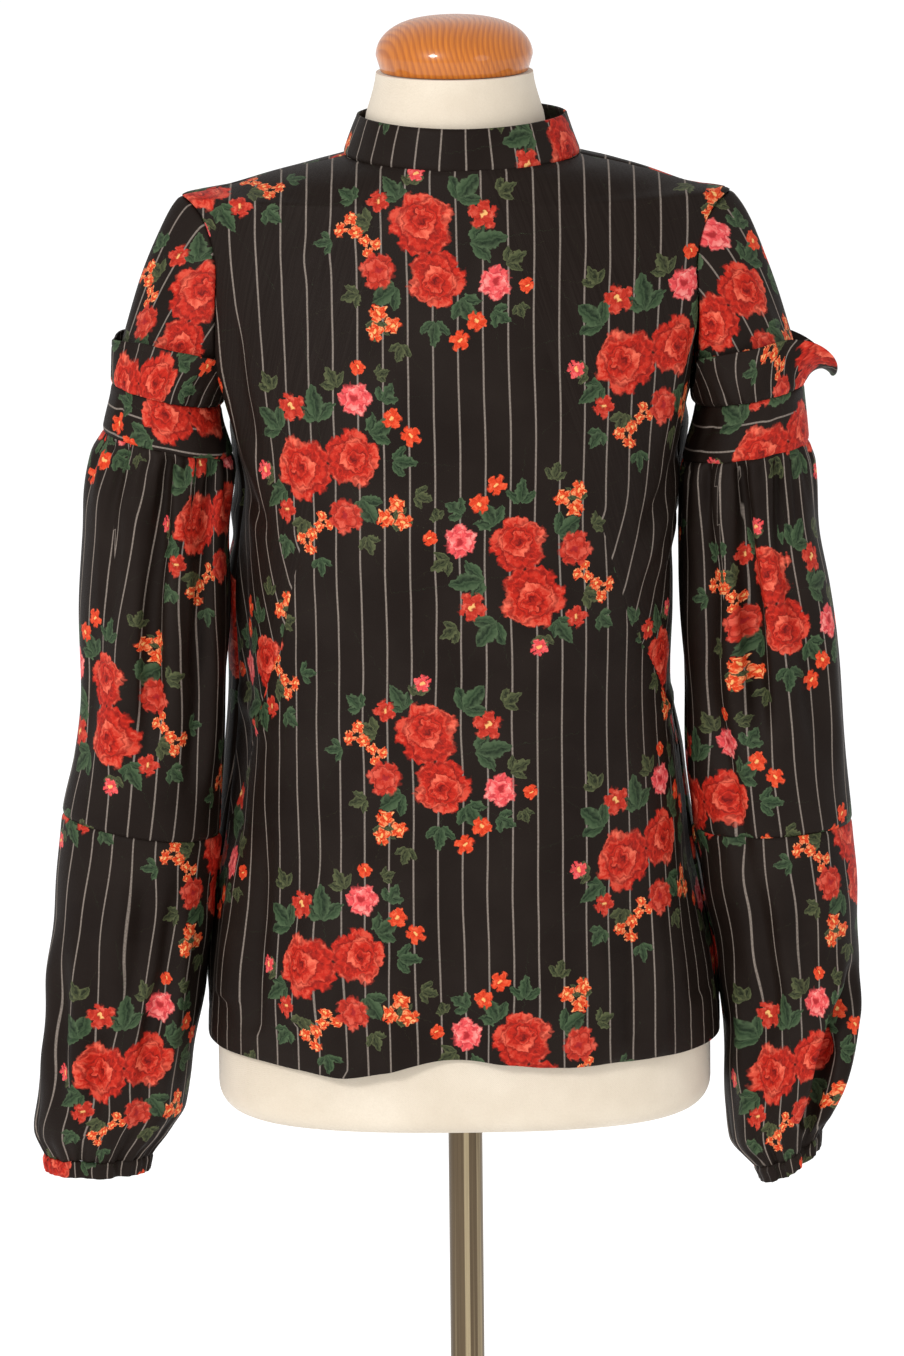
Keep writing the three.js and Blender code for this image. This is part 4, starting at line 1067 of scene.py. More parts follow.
# Gathers of each balloon under its band: turn, half width in degrees, depth, length, cloth hidden in it
BAND_GATHERS = {
    "left": [
        (20, 5, 3.0, 60, 3),
        (38, 4, 2.4, 40, 2),
        (52, 5, 3.6, 95, 5),
        (66, 4, 2.4, 45, 2),
        (80, 4, 2.8, 55, 3),
        (94, 6, 7.0, 150, 16),
        (110, 4, 2.6, 50, 2),
        (122, 5, 4.0, 90, 6),
        (138, 6, 6.0, 140, 12),
        (156, 4, 2.6, 50, 3),
        (176, 5, 3.0, 70, 3),
        (196, 5, 3.4, 60, 4),
        (216, 4, 2.6, 45, 2),
        (236, 6, 5.4, 120, 9),
        (256, 4, 2.4, 50, 2),
        (276, 5, 4.0, 80, 5),
        (300, 6, 5.4, 125, 9),
        (322, 4, 2.8, 50, 3),
        (342, 5, 3.4, 75, 4),
    ],
    "right": [
        (16, 5, 3.2, 75, 4),
        (34, 4, 2.4, 45, 2),
        (48, 5, 3.6, 90, 5),
        (62, 5, 4.6, 105, 7),
        (76, 4, 2.4, 40, 2),
        (97, 6, 7.5, 165, 17),
        (112, 4, 2.4, 45, 2),
        (128, 5, 4.2, 80, 6),
        (146, 4, 2.8, 55, 3),
        (164, 5, 3.4, 70, 4),
        (184, 4, 2.6, 50, 2),
        (204, 5, 3.6, 70, 4),
        (222, 4, 2.6, 45, 2),
        (240, 6, 5.2, 120, 9),
        (262, 4, 2.6, 50, 3),
        (280, 5, 3.8, 75, 4),
        (298, 6, 5.6, 130, 10),
        (318, 4, 2.6, 45, 2),
        (338, 5, 3.2, 70, 4),
    ],
}

# Long creases of the sleeves below the band: path of (turn, height), width, depth
SLEEVE_CREASES = {
    "left": [
        ([(92, 900), (90, 820), (86, 740)], 9, -4.8),
        ([(104, 905), (108, 830), (110, 760)], 9, 3.6),
        ([(70, 880), (66, 800), (60, 725)], 11, 3.3),
        ([(134, 880), (132, 800), (126, 720)], 10, -5.1),
        ([(150, 860), (146, 780), (140, 715)], 9, 3),
        ([(40, 860), (36, 790), (30, 720)], 12, -3),
        ([(98, 700), (100, 620), (92, 560)], 10, -5.1),
        ([(84, 690), (80, 640), (74, 560)], 11, 3.9),
        ([(122, 690), (120, 610), (112, 520)], 9, -5.4),
        ([(136, 660), (134, 590), (130, 510)], 9, 3.9),
        ([(52, 640), (56, 580), (62, 510)], 11, 3.9),
        ([(36, 620), (42, 560), (50, 500)], 9, -3.6),
        ([(70, 580), (74, 540), (78, 495)], 7, -3.6),
        ([(18, 640), (20, 570), (22, 505)], 12, 3),
        ([(235, 880), (232, 800), (238, 720)], 11, -4.5),
        ([(258, 870), (262, 790), (256, 715)], 12, 3.3),
        ([(300, 880), (298, 800), (304, 720)], 11, -4.2),
        ([(330, 860), (332, 790), (328, 720)], 12, 3),
        ([(250, 690), (252, 610), (246, 520)], 10, -4.8),
        ([(228, 680), (232, 600), (236, 510)], 10, 3.6),
        ([(290, 680), (286, 600), (292, 510)], 11, 3.9),
        ([(315, 670), (318, 590), (312, 510)], 10, -3.9),
        ([(200, 680), (196, 600), (200, 520)], 10, 3),
    ],
    "right": [
        ([(97, 900), (96, 820), (92, 740)], 9, -4.8),
        ([(110, 900), (114, 820), (112, 750)], 9, 3.6),
        ([(78, 890), (74, 810), (68, 730)], 11, 3.3),
        ([(60, 890), (54, 820), (48, 740)], 9, -3.6),
        ([(136, 870), (132, 790), (128, 720)], 10, -3.9),
        ([(30, 860), (28, 790), (26, 720)], 12, 3),
        ([(128, 800), (118, 730), (112, 660)], 8, -4.8),
        ([(112, 690), (108, 620), (104, 560)], 10, -4.5),
        ([(96, 690), (92, 620), (90, 540)], 11, 3.6),
        ([(80, 680), (76, 610), (70, 560)], 9, -3),
        ([(20, 612), (40, 580), (58, 540), (70, 490)], 9, -13.5, 0.3, 0.05),
        ([(8, 600), (26, 562), (44, 520), (54, 480)], 10, 6, 0.3, 0.1),
        ([(38, 618), (56, 585), (74, 545), (86, 495)], 9, 5.1, 0.3, 0.1),
        ([(124, 600), (122, 550), (118, 495)], 9, -3.9),
        ([(140, 620), (140, 560), (134, 500)], 9, 3.3),
        ([(240, 880), (238, 800), (244, 720)], 11, -4.5),
        ([(262, 870), (266, 790), (260, 715)], 12, 3.3),
        ([(298, 880), (296, 800), (302, 720)], 11, -4.2),
        ([(328, 860), (330, 790), (326, 720)], 12, 3),
        ([(255, 690), (256, 610), (250, 520)], 10, -4.8),
        ([(232, 680), (236, 600), (238, 510)], 10, 3.6),
        ([(294, 680), (290, 600), (296, 510)], 11, 3.9),
        ([(318, 670), (320, 590), (314, 510)], 10, -3.9),
        ([(200, 680), (198, 600), (202, 520)], 10, 3),
    ],
}

# Creases of the upper sleeves: path of (turn, share of the way down to the band), width in degrees, depth
UPPER_SLEEVE_CREASES = {
    "left": [
        ([(118, 0.25), (96, 0.6), (80, 0.9)], 7, 1.8),
        ([(134, 0.3), (112, 0.65), (98, 0.95)], 6, -1.6),
        ([(60, 0.3), (62, 0.6), (56, 0.95)], 8, 1.2),
        ([(28, 0.2), (24, 0.55), (30, 0.95)], 9, -1.0),
        ([(240, 0.3), (262, 0.65), (276, 0.95)], 8, 1.8),
        ([(226, 0.3), (244, 0.65), (258, 0.95)], 7, -1.6),
        ([(320, 0.25), (316, 0.6), (322, 0.95)], 9, 1.2),
    ],
    "right": [
        ([(122, 0.25), (104, 0.6), (90, 0.92)], 7, 1.8),
        ([(138, 0.3), (120, 0.62), (106, 0.95)], 6, -1.6),
        ([(72, 0.3), (66, 0.6), (70, 0.95)], 8, -1.2),
        ([(40, 0.2), (38, 0.55), (34, 0.95)], 9, 1.2),
        ([(238, 0.3), (258, 0.65), (272, 0.95)], 8, 1.8),
        ([(222, 0.3), (240, 0.65), (254, 0.95)], 7, -1.6),
        ([(316, 0.25), (320, 0.6), (314, 0.95)], 9, 1.2),
    ],
}

# Creases of the arm bands: path of (turn as millimetres, height), width, depth
BAND_CREASES = {
    "left": [([(30, 994), (34, 978), (30, 961)], 5, -2.0), ([(66, 990), (72, 976), (64, 962)], 5, -1.2)],
    "right": [([(110, 984), (120, 970), (126, 955)], 6, -1.4), ([(60, 984), (66, 968)], 6, 1.0)],
}

# Which bouquet lies where on each piece, so that the print starts there: its kind, its turn, and its
# height or, on the collar, the upper sleeves and the frills, its share of the way along the piece
PRINT_STARTS = {
    "collar": ("inverted", 66, 1.0),
    "upper_sleeve_left": ("upright", 75, 0.42),
    "upper_sleeve_right": ("sideways", 70, 0.42),
    "ruffle_left": ("sideways", 60, 0.2),
    "ruffle_right": ("upright", 25, 0.5),
    "arm_band_left": ("inverted", 118, 992),
    "arm_band_right": ("upright", 50, 955),
    "balloon_left": ("inverted", 58, 788),
    "balloon_right": ("upright", 78, 858),
    "lower_sleeve_left": ("sideways", 96, 543),
    "lower_sleeve_right": ("sideways", 90, 541),
    "cuff_left": ("sideways", 20, 470),
    "cuff_right": ("sideways", 200, 470),
}


def fabric_of(across, up):
    """Places on the flat printed cloth as vectors."""
    return np.stack([across, up, np.zeros(across.shape)], -1)


def start_print(name, fabric, turns, levels, level_length=1, turn_length=DEGREE_LENGTH):
    """The fabric of a piece, moved so that its bouquet lies at the turn and level of PRINT_STARTS."""
    kind, turn, level = PRINT_STARTS[name]
    distance = np.hypot(turn_between(turns, turn) * turn_length, (levels - level) * level_length)
    nearest = np.unravel_index(np.argmin(distance), distance.shape)
    (bouquet_x, bouquet_y), _ = BOUQUETS[kind]
    moved = fabric.copy()
    moved[..., 0] += bouquet_x - fabric[nearest][0]
    moved[..., 1] += bouquet_y - fabric[nearest][1]
    return moved


def spread(values, shape):
    """One value for each row of a grid, the same all along the row."""
    return np.broadcast_to(values[:, None], shape)


def panel_grid(face, halves):
    """Angles from the middle of the face and nominal heights of a body panel's grid."""
    below = np.linspace(HEM, UNDERARM, LOW_ROWS, endpoint=False)
    turns = np.linspace(180, 0, ARMHOLE_ROWS)
    above = np.linspace(SHOULDER_TIP, NECKLINE, HIGH_ROWS + 1)[1:]
    heights = np.concatenate([below, armhole_height(turns), above])
    edges = np.full(len(heights), 90.0)
    edges[LOW_ROWS : LOW_ROWS + ARMHOLE_ROWS] = armhole_angle(turns, face)
    return edges[:, None] * halves[None, :], spread(heights, (len(heights), len(halves)))


def panel_fabric(points, heights, middle, sign):
    """Place on the flat cloth of each point of a panel, from its middle column and its hem."""
    x, y, z = np.moveaxis(points, -1, 0)
    arc = arc_lengths(points, 1)
    arc = arc - arc[:, middle : middle + 1]
    upper = smoothstep(ARC_ENDS, PLAIN_STARTS, heights)
    across = arc * (1 - upper) + sign * x * upper
    half = BODY.at("half", SLOPE_STARTS)
    power = BODY.at("power", SLOPE_STARTS)
    depth = BODY.at("front" if sign > 0 else "back", SLOPE_STARTS)
    beside = np.minimum(np.abs(x) / half, 1)
    face_y = depth * (1 - beside**power) ** (1 / power)
    rise = np.hypot(np.maximum(face_y - np.abs(y), 0), z - SLOPE_STARTS)
    return fabric_of(across, np.where(z > SLOPE_STARTS, SLOPE_STARTS + rise, z))


def fabric_place(points, fabric, x, z):
    """Flat place of the front's point that is seen at x and z."""
    distance = np.hypot(points[..., 0] - x, points[..., 2] - z)
    nearest = np.unravel_index(np.argmin(distance), distance.shape)
    return fabric[nearest][:2]


def dart_sides(points, fabric):
    """Fabric places turned above each dart, with their distance from it as z, and the darts' groove."""
    places = fabric[..., :2]
    turned = fabric.copy()
    turned[..., 2] = NOT_TURNED
    groove = np.zeros(points.shape[:2])
    for path, degrees in DARTS:
        apex, middle, end = [fabric_place(points, fabric, x, z) for x, z in path]
        outward = -np.sign(degrees)
        side = np.full(groove.shape, NOT_TURNED)
        direction = end - apex
        to_point = places - apex
        for start, stop in ((apex, middle), (middle, end)):
            length = np.linalg.norm(stop - start)
            along = (stop - start) / length
            cross = along[0] * (places[..., 1] - start[1]) - along[1] * (places[..., 0] - start[0])
            reached = (places - start) @ along
            in_reach = reached < length if start is apex else reached >= 0
            side = np.where(in_reach, cross * outward, side)
            inside = (reached > 0) & (reached < length)
            groove = np.where(inside, np.maximum(groove, ridge(cross, DART_GROOVE)), groove)
        heading = np.arctan2(to_point[..., 1], to_point[..., 0]) - math.atan2(direction[1], direction[0])
        heading = np.degrees((heading + math.pi) % (2 * math.pi) - math.pi) * outward
        share = 1 - smoothstep(0, DART_FADE, heading)
        turn = np.radians(-degrees) * share
        cosine, sine = np.cos(turn), np.sin(turn)
        x = apex[0] + to_point[..., 0] * cosine - to_point[..., 1] * sine
        y = apex[1] + to_point[..., 0] * sine + to_point[..., 1] * cosine
        this_half = (np.sign(places[..., 0]) == np.sign(apex[0])) & (side > NOT_TURNED)
        turned = np.where(this_half[..., None], np.stack([x, y, side], -1), turned)
    return turned, groove


def hem_line(points):
    """A shallow groove where the turned-up hem ends."""
    return -0.35 * ridge(arc_lengths(points, 0) - HEM_DEPTH, 1.1)


def finish_piece(piece, node):
    """Everything that the frame has to know about one sheet of cloth."""
    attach(piece, "root")
    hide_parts(node)


def place_cloth(name, points, closed, folds, details, fabric, thickness, **more):
    """A sheet whose grid is moved out by its folds and details. The print shifts a little with each fold."""
    lift = folds + details
    moved = points + normals_of(points, closed) * lift[..., None]
    shifted = fabric.copy()
    shifted[..., 0] += PRINT_SHIFT * folds
    return shell(name, moved, normals_of(moved, closed), thickness, shifted, **more)


def build_front():
    halves = np.linspace(-1, 1, PANEL_COLUMNS + 1)
    angles, heights = panel_grid("front", halves)
    points = body_point(angles, heights)
    fabric = panel_fabric(points, heights, PANEL_COLUMNS // 2, 1)
    turned, groove = dart_sides(points, fabric)
    u, v = fabric[..., 0], fabric[..., 1]
    folds = crease_lift(points[..., [0, 2]], FRONT_CREASES)
    folds += 0.45 * soft_noise(u, v, 95, SEED) + 0.15 * soft_noise(u, v, 31, SEED + 1)
    details = seam_dips(points, ["left", "right", "top"]) + hem_line(points) - 0.9 * groove
    wave = 0.8 * soft_noise(u, v, 120, SEED + 2)
    fabric[..., 0] += wave
    turned[..., 0] += wave + PRINT_SHIFT * folds
    piece = place_cloth("front", points, False, folds, details, fabric, CLOTH, turned=turned)
    finish_piece(piece, "front")


def build_back():
    """The back, in one piece, with a narrow slit down from the neck."""
    half = PANEL_COLUMNS // 2
    halves = np.concatenate([np.linspace(-1, 0, half + 1), np.linspace(0, 1, half + 1)])
    angles, heights = panel_grid("back", halves)
    gap = np.degrees(SLIT_WIDTH / 2 / BODY.at("back", heights))
    reach = 1 - gap / np.abs(angles[:, :1])
    on_left = np.arange(len(halves))[None, :] <= half
    angles = 180 + angles * reach + np.where(on_left, -gap, gap)
    points = body_point(angles, heights)
    fabric = panel_fabric(points, heights, half, -1)
    u, v = fabric[..., 0], fabric[..., 1]
    folds = crease_lift(points[..., [0, 2]] * (-1, 1), BACK_CREASES)
    folds += 0.5 * soft_noise(u, v, 90, SEED + 3)
    details = seam_dips(points, ["left", "right", "top"]) + hem_line(points)
    fabric[..., 0] += 0.8 * soft_noise(u, v, 120, SEED + 4)
    skip = np.zeros((len(heights) - 1, len(halves) - 1), bool)
    skip[heights[:-1, 0] >= NECKLINE - SLIT_LENGTH, half] = True
    piece = place_cloth("back", points, False, folds, details, fabric, CLOTH, skip=skip)
    finish_piece(piece, "back")


def build_collar():
    """The collar: a folded stand, open at the middle of the back."""
    halves = np.linspace(-1, 1, COLLAR_COLUMNS + 1)
    half_slit = math.degrees(SLIT_WIDTH / 2 / BODY.at("back", NECKLINE))
    angles = np.broadcast_to(halves * (180 - half_slit), (COLLAR_ROWS + 1, len(halves)))
    rise = spread(np.linspace(0, 1, COLLAR_ROWS + 1) * COLLAR_RISE, angles.shape)
    leaned = section_radius(BODY, np.full_like(angles, NECKLINE), angles) - COLLAR_LEAN * rise / COLLAR_RISE
    turn = np.radians(angles)
    x = COLLAR_SHIFT + leaned * np.sin(turn)
    points = np.stack([x, -leaned * np.cos(turn), neckline_height(angles) + rise], -1)
    arc = arc_lengths(points, 1).mean(axis=0)
    arc = np.broadcast_to(arc - arc[len(halves) // 2], rise.shape)
    fabric = fabric_of(arc, rise)
    fabric = start_print("collar", fabric, angles, rise / COLLAR_RISE, 40, 1)
    folds = 0.35 * soft_noise(arc, rise, 42, SEED + 5)
    details = seam_dips(points, ["bottom"]) - 0.2 * ridge(rise - COLLAR_STITCH, 0.9)
    piece = place_cloth("collar", points, False, folds, details, fabric, FOLDED_CLOTH)
    finish_piece(piece, "collar")


def tube_turns(side, rows, columns=TUBE_COLUMNS):
    """Turns of a sleeve's grid, once round from its seam on the inner side, as the print reads."""
    turns = OUTWARD[side] * (180 - 360 * np.linspace(0, 1, columns + 1))
    return np.broadcast_to(turns, (rows + 1, columns + 1))


def tube_fabric(points, width):
    """Flat place of each point of a tube that is cut as one straight width and eased into its seams."""
    across = arc_lengths(points, 1)
    share = across / across[:, -1:]
    up = arc_lengths(points, 0).mean(axis=1)
    return fabric_of(share * width, spread(up, share.shape))


def gathers(turns, below, table):
    """Lift and hidden cloth of gathers that start at a seam and fade with the distance below it."""
    lift = np.zeros(turns.shape)
    hidden = np.zeros(turns.shape)
    for turn, half_width, depth, length, cloth in table:
        wander = turn + 2.5 * np.sin(below / 31 + turn)
        fall = 1 - smoothstep(0.1, 1, below / length)
        widen = half_width * (1 + 0.9 * below / length)
        across = turn_between(turns, wander) / widen
        lift -= depth * fall * (1 - 0.45 * across**2) * ridge(across) * smoothstep(-2, 7, below)
        hidden += cloth * fall * (smoothstep(-1, 1, across) - 0.5)
    return lift, hidden


def sheet_places(turns, heights):
    """Turns and heights of a sleeve as places on a flat sheet, in millimetres."""
    return np.stack([(turns % 360) * DEGREE_LENGTH, heights], -1)


def scaled_creases(creases, across, along):
    """Creases whose paths are moved to the scales of a flat sheet."""
    return [([(a * across, b * along) for a, b in path], *rest) for path, *rest in creases]


def sleeve_creases(side, turns, heights):
    creases = scaled_creases(SLEEVE_CREASES[side], DEGREE_LENGTH, 1)
    return crease_lift(sheet_places(turns, heights), creases)


def sleeve_grid(side, low, high, rows):
    turns = tube_turns(side, rows)
    heights = spread(np.linspace(low, high, rows + 1), turns.shape)
    return turns, heights, sleeve_point(side, turns, heights)


def build_balloon(side):
    name = f"balloon_{side}"
    _, band_bottom, balloon_end, _, _ = SEAMS[side]
    turns, heights, points = sleeve_grid(side, balloon_end, band_bottom, SLEEVE_ROWS)
    fabric = tube_fabric(points, BALLOON_WIDTH)
    u, v = fabric[..., 0], fabric[..., 1]
    below = band_bottom - heights
    lift, hidden = gathers(turns, below, BAND_GATHERS[side])
    folds = sleeve_creases(side, turns, heights) + lift + 1.1 * soft_noise(u, v, 80, SEED + 11)
    swell = 2.2 * smoothstep(0, 14, below) * (1 - smoothstep(20, 70, below))
    details = swell + seam_dips(points)
    fabric[..., 0] += 1.6 * soft_noise(u, v, 90, SEED + 12) - OUTWARD[side] * hidden
    fabric = start_print(name, fabric, turns, heights)
    piece = place_cloth(name, points, True, folds, details, fabric, CLOTH)
    finish_piece(piece, name)


def build_lower_sleeve(side):
    _, _, balloon_end, cuff_top, _ = SEAMS[side]
    turns, heights, points = sleeve_grid(side, cuff_top, balloon_end, SLEEVE_ROWS)
    name = f"lower_sleeve_{side}"
    fabric = tube_fabric(points, LOWER_SLEEVE_WIDTH)
    u, v = fabric[..., 0], fabric[..., 1]
    lift, hidden = cuff_gathers(side, turns, heights - cuff_top)
    folds = sleeve_creases(side, turns, heights) + lift + 1.1 * soft_noise(u, v, 70, SEED + 13)
    details = seam_dips(points)
    fabric[..., 0] += hidden + 1.8 * soft_noise(u, v, 85, SEED + 14)
    fabric = start_print(name, fabric, turns, heights)
    piece = place_cloth(name, points, True, folds, details, fabric, CLOTH)
    finish_piece(piece, name)


def cuff_gathers(side, turns, above):
    """Small gathers of uneven size that the elastic of the cuff draws into the sleeve."""
    generator = np.random.default_rng(SEED + (20 if side == "left" else 21))
    lift = np.zeros(turns.shape)
    hidden = np.zeros(turns.shape)
    middle = 0.0
    while middle < 352:
        step = generator.uniform(9, 17)
        depth = generator.uniform(1.4, 3.0)
        length = generator.uniform(22, 62)
        fall = 1 - smoothstep(0, 1, above / length)
        across = turn_between(turns, middle + step / 2 + 1.5 * np.sin(above / 9 + middle)) / (step * 0.33)
        lift -= depth * fall * ridge(across)
        hidden += 0.8 * depth * fall * (smoothstep(-1, 1, across) - 0.5)
        middle += step
    return lift, hidden


def build_cuff(side):
    """Narrow casing whose elastic ripples both of its edges."""
    _, _, _, cuff_top, cuff_bottom = SEAMS[side]
    turns, heights, points = sleeve_grid(side, cuff_bottom, cuff_top, CUFF_ROWS)
    name = f"cuff_{side}"
    fabric = tube_fabric(points, CUFF_WIDTH)
    lift, _ = cuff_gathers(side, turns, np.zeros_like(heights))
    folds = 0.6 * lift + 0.4 * np.sin((heights - cuff_bottom) / (cuff_top - cuff_bottom) * math.pi)
    details = seam_dips(points, ["left", "right", "top"])
    fabric = start_print(name, fabric, turns, heights)
    piece = place_cloth(name, points, True, folds, details, fabric, FOLDED_CLOTH)
    finish_piece(piece, name)


def build_arm_band(side):
    """Band cut across the grain, so that its stripes run round the arm."""
    band_top, band_bottom, _, _, _ = SEAMS[side]
    turns, heights, points = sleeve_grid(side, band_bottom, band_top, BAND_ROWS)
    name = f"arm_band_{side}"
    around = tube_fabric(points, BAND_WIDTH)
    fabric = fabric_of(around[..., 1], -around[..., 0])
    folds = 0.5 * soft_noise(around[..., 0], around[..., 1], 45, SEED + 15)
    folds += crease_lift(sheet_places(turns, heights), BAND_CREASES[side])
    details = seam_dips(points)
    fabric = start_print(name, fabric, turns, heights)
    piece = place_cloth(name, points, True, folds, details, fabric, FOLDED_CLOTH)
    finish_piece(piece, name)


def build_upper_sleeve(side):
    """From the armhole down to the band, cut with its grain down the front of the shoulder."""
    name = f"upper_sleeve_{side}"
    turns = tube_turns(side, UPPER_SLEEVE_ROWS)
    parts = spread(np.linspace(1, 0, UPPER_SLEEVE_ROWS + 1), turns.shape)
    points = upper_sleeve_point(side, turns, parts)
    from_grain = turn_between(turns, GRAIN_TURN)
    across = -OUTWARD[side] * np.radians(from_grain) * UPPER_SLEEVE_RADIUS
    column = np.argmin(np.abs(from_grain[0]))
    up = 0.75 * points[..., 2] + 0.25 * arc_lengths(points, 0)[:, column, None]
    fabric = fabric_of(across, up)
    creases = scaled_creases(UPPER_SLEEVE_CREASES[side], 1, UPPER_SLEEVE_LENGTH)
    places = np.stack([turns % 360, UPPER_SLEEVE_LENGTH * parts], -1)
    folds = crease_lift(places, creases) * smoothstep(0, 0.3, parts) * smoothstep(0, 0.1, 1 - parts)
    folds += 0.4 * soft_noise(across, up, 60, SEED + 16) * smoothstep(0, 0.3, parts)
    fabric = start_print(name, fabric, turns, parts, 100)
    piece = place_cloth(name, points, True, folds, seam_dips(points), fabric, CLOTH)
    finish_piece(piece, name)


def ruffle_point(side, turns, shares):
    """Frill: it starts outside the foot of the upper sleeve, runs up beside it, and leans and curls away."""
    middle, reach, curl_there, longer_there = RUFFLE_CURLS[side]
    near = bell(turn_between(turns, middle) / reach)
    start = armhole_point(side, turns % 360)
    end = sleeve_point(side, turns, np.full(turns.shape, SEAMS[side][0]))
    span = np.linalg.norm(end - start, axis=-1)
    height = np.clip(span - RUFFLE_SHORT_OF_ARMHOLE, RUFFLE_LEAST_HEIGHT, RUFFLE_HEIGHT + longer_there * near)
    fullness = height / RUFFLE_HEIGHT
    rise = np.zeros(turns.shape)
    outset = np.full(turns.shape, CLOTH + GAP)
    for step in range(RUFFLE_STEPS):
        reached = (step + 0.5) / RUFFLE_STEPS
        lean = np.radians(RUFFLE_LEAN + curl_there * near * reached**RUFFLE_CURL_POWER)
        passed = reached < shares
        rise += np.where(passed, height / RUFFLE_STEPS * np.cos(lean), 0)
        outset += np.where(passed, height / RUFFLE_STEPS * np.sin(lean), 0)
    wave = ruffle_wave(side, turns) * RUFFLE_WAVE_DEPTH * fullness
    part = 1 - rise / span
    surface = upper_sleeve_point(side, turns, part)
    step = 0.005
    around = upper_sleeve_point(side, turns + 0.5, part) - upper_sleeve_point(side, turns - 0.5, part)
    down = upper_sleeve_point(side, turns, part + step) - upper_sleeve_point(side, turns, part - step)
    out = np.cross(around, down)
    out *= OUTWARD[side] / np.linalg.norm(out, axis=-1, keepdims=True)
    return surface + out * (outset + wave * shares)[..., None], height


def ruffle_wave(side, turns):
    """Waves of uneven width and height round the frill's edge, from 0 to about 1."""
    turn = np.radians(turns)
    uneven = 0.35 * np.sin(3 * turn + (1 if side == "left" else 2)) + 0.25 * np.sin(5 * turn + 4)
    return (1 - np.cos(RUFFLE_WAVES * turn + uneven * 2)) / 2 * (0.75 + 0.25 * np.sin(2 * turn + 1))


def build_ruffle(side):
    """Frill with small gathers at its foot and a narrow hem along its edge."""
    name = f"ruffle_{side}"
    turns = tube_turns(side, RUFFLE_ROWS, RUFFLE_COLUMNS)
    shares = spread(np.linspace(0, 1, RUFFLE_ROWS + 1), turns.shape)
    points, height = ruffle_point(side, turns, shares)
    fabric = tube_fabric(points, RUFFLE_WIDTH)
    fabric[..., 1] = shares * height
    u, v = fabric[..., 0], fabric[..., 1]
    generator = np.random.default_rng(SEED + (30 if side == "left" else 31))
    folds = np.zeros(turns.shape)
    for middle in np.arange(0, 360, 11.5):
        jitter, size = generator.uniform(-3, 3), generator.uniform(0.5, 1.3)
        across = turn_between(turns, middle + jitter) / 3.2
        folds -= size * ridge(across) * (1 - smoothstep(0.1, 0.75, shares))
    folds += 0.35 * soft_noise(u, v, 35, SEED + 17)
    folds *= smoothstep(0.05, 0.5, height / RUFFLE_HEIGHT)
    from_edge = (1 - shares) * RUFFLE_HEIGHT
    details = seam_dips(points, ["left", "right", "bottom"]) - 0.25 * ridge(from_edge - RUFFLE_STITCH, 0.9)
    fabric = start_print(name, fabric, turns, shares, RUFFLE_HEIGHT)
    piece = place_cloth(name, points, True, folds, details, fabric, CLOTH, reverse=PRINTED)
    finish_piece(piece, name)


def ring_faces(rings, columns):
    """Faces between closed rings of points that follow each other."""
    faces = []
    for base in range(0, (rings - 1) * columns, columns):
        for column in range(columns):
            a, b = base + column, base + (column + 1) % columns
            faces.append((a, b, b + columns, a + columns))
    return faces


def closed_rings(rings, bottom, top):
    """Points and faces of a solid made of rings, with a point in the middle of each end."""
    count, columns = np.shape(rings)[:2]
    points = np.concatenate([np.reshape(rings, (-1, 3)), [bottom, top]])
    faces = ring_faces(count, columns)
    last_ring = (count - 1) * columns
    for column in range(columns):
        after = (column + 1) % columns
        faces.append((len(points) - 2, after, column))
        faces.append((len(points) - 1, last_ring + column, last_ring + after))
    return points, faces


def revolve(profile, segments):
    """Points and faces of a turned solid from (radius, height) pairs that start and end on the axis."""
    turns = np.linspace(0, 2 * math.pi, segments, endpoint=False)
    rings = [[(r * math.cos(t), r * math.sin(t), z) for t in turns] for r, z in profile[1:-1]]
    return closed_rings(rings, (0, 0, profile[0][1]), (0, 0, profile[-1][1]))


def rounded(profile, radius, steps=4):
    """A profile whose inner corners are rounded off."""
    profile = [np.array(corner, float) for corner in profile]
    result = [profile[0]]
    for before, corner, after in zip(profile[:-2], profile[1:-1], profile[2:]):
        arriving, leaving = before - corner, after - corner
        reach = min(radius, np.linalg.norm(arriving) * 0.45, np.linalg.norm(leaving) * 0.45)
        start = corner + arriving / np.linalg.norm(arriving) * reach
        end = corner + leaving / np.linalg.norm(leaving) * reach
        for step in range(steps + 1):
            t = step / steps
            result.append(start * (1 - t) ** 2 + corner * 2 * t * (1 - t) + end * t**2)
    result.append(profile[-1])
    return result


def solid(name, points, faces, material, slot, sharp_degrees=35):
    """A smooth closed piece of the stand or the fastening. It stands for the CAD node of the same name."""
    mesh = bpy.data.meshes.new(name)
    mesh.from_pydata((points * MM).tolist(), [], faces)
    mesh.shade_smooth()
    mesh.set_sharp_from_angle(angle=math.radians(sharp_degrees))
    mesh.materials.append(material)
    piece = new_object(f"detailed_{name}", mesh)
    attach(piece, "root")
    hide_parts(name)
    return piece


def collar_back_frame():
    """Place and axes of the middle of the collar's back: across, up its slope, and out."""
    rise = COLLAR_RISE * 0.55
    radius = section_radius(BODY, NECKLINE, 180.0) - COLLAR_LEAN * rise / COLLAR_RISE
    origin = np.array([COLLAR_SHIFT, radius, NECKLINE + NECKLINE_BACK_RISE + rise])
    up = np.array([0, -COLLAR_LEAN, COLLAR_RISE]) / math.hypot(COLLAR_LEAN, COLLAR_RISE)
    out = np.array([0, up[2], -up[1]])
    return origin, np.array([1.0, 0, 0]), up, out


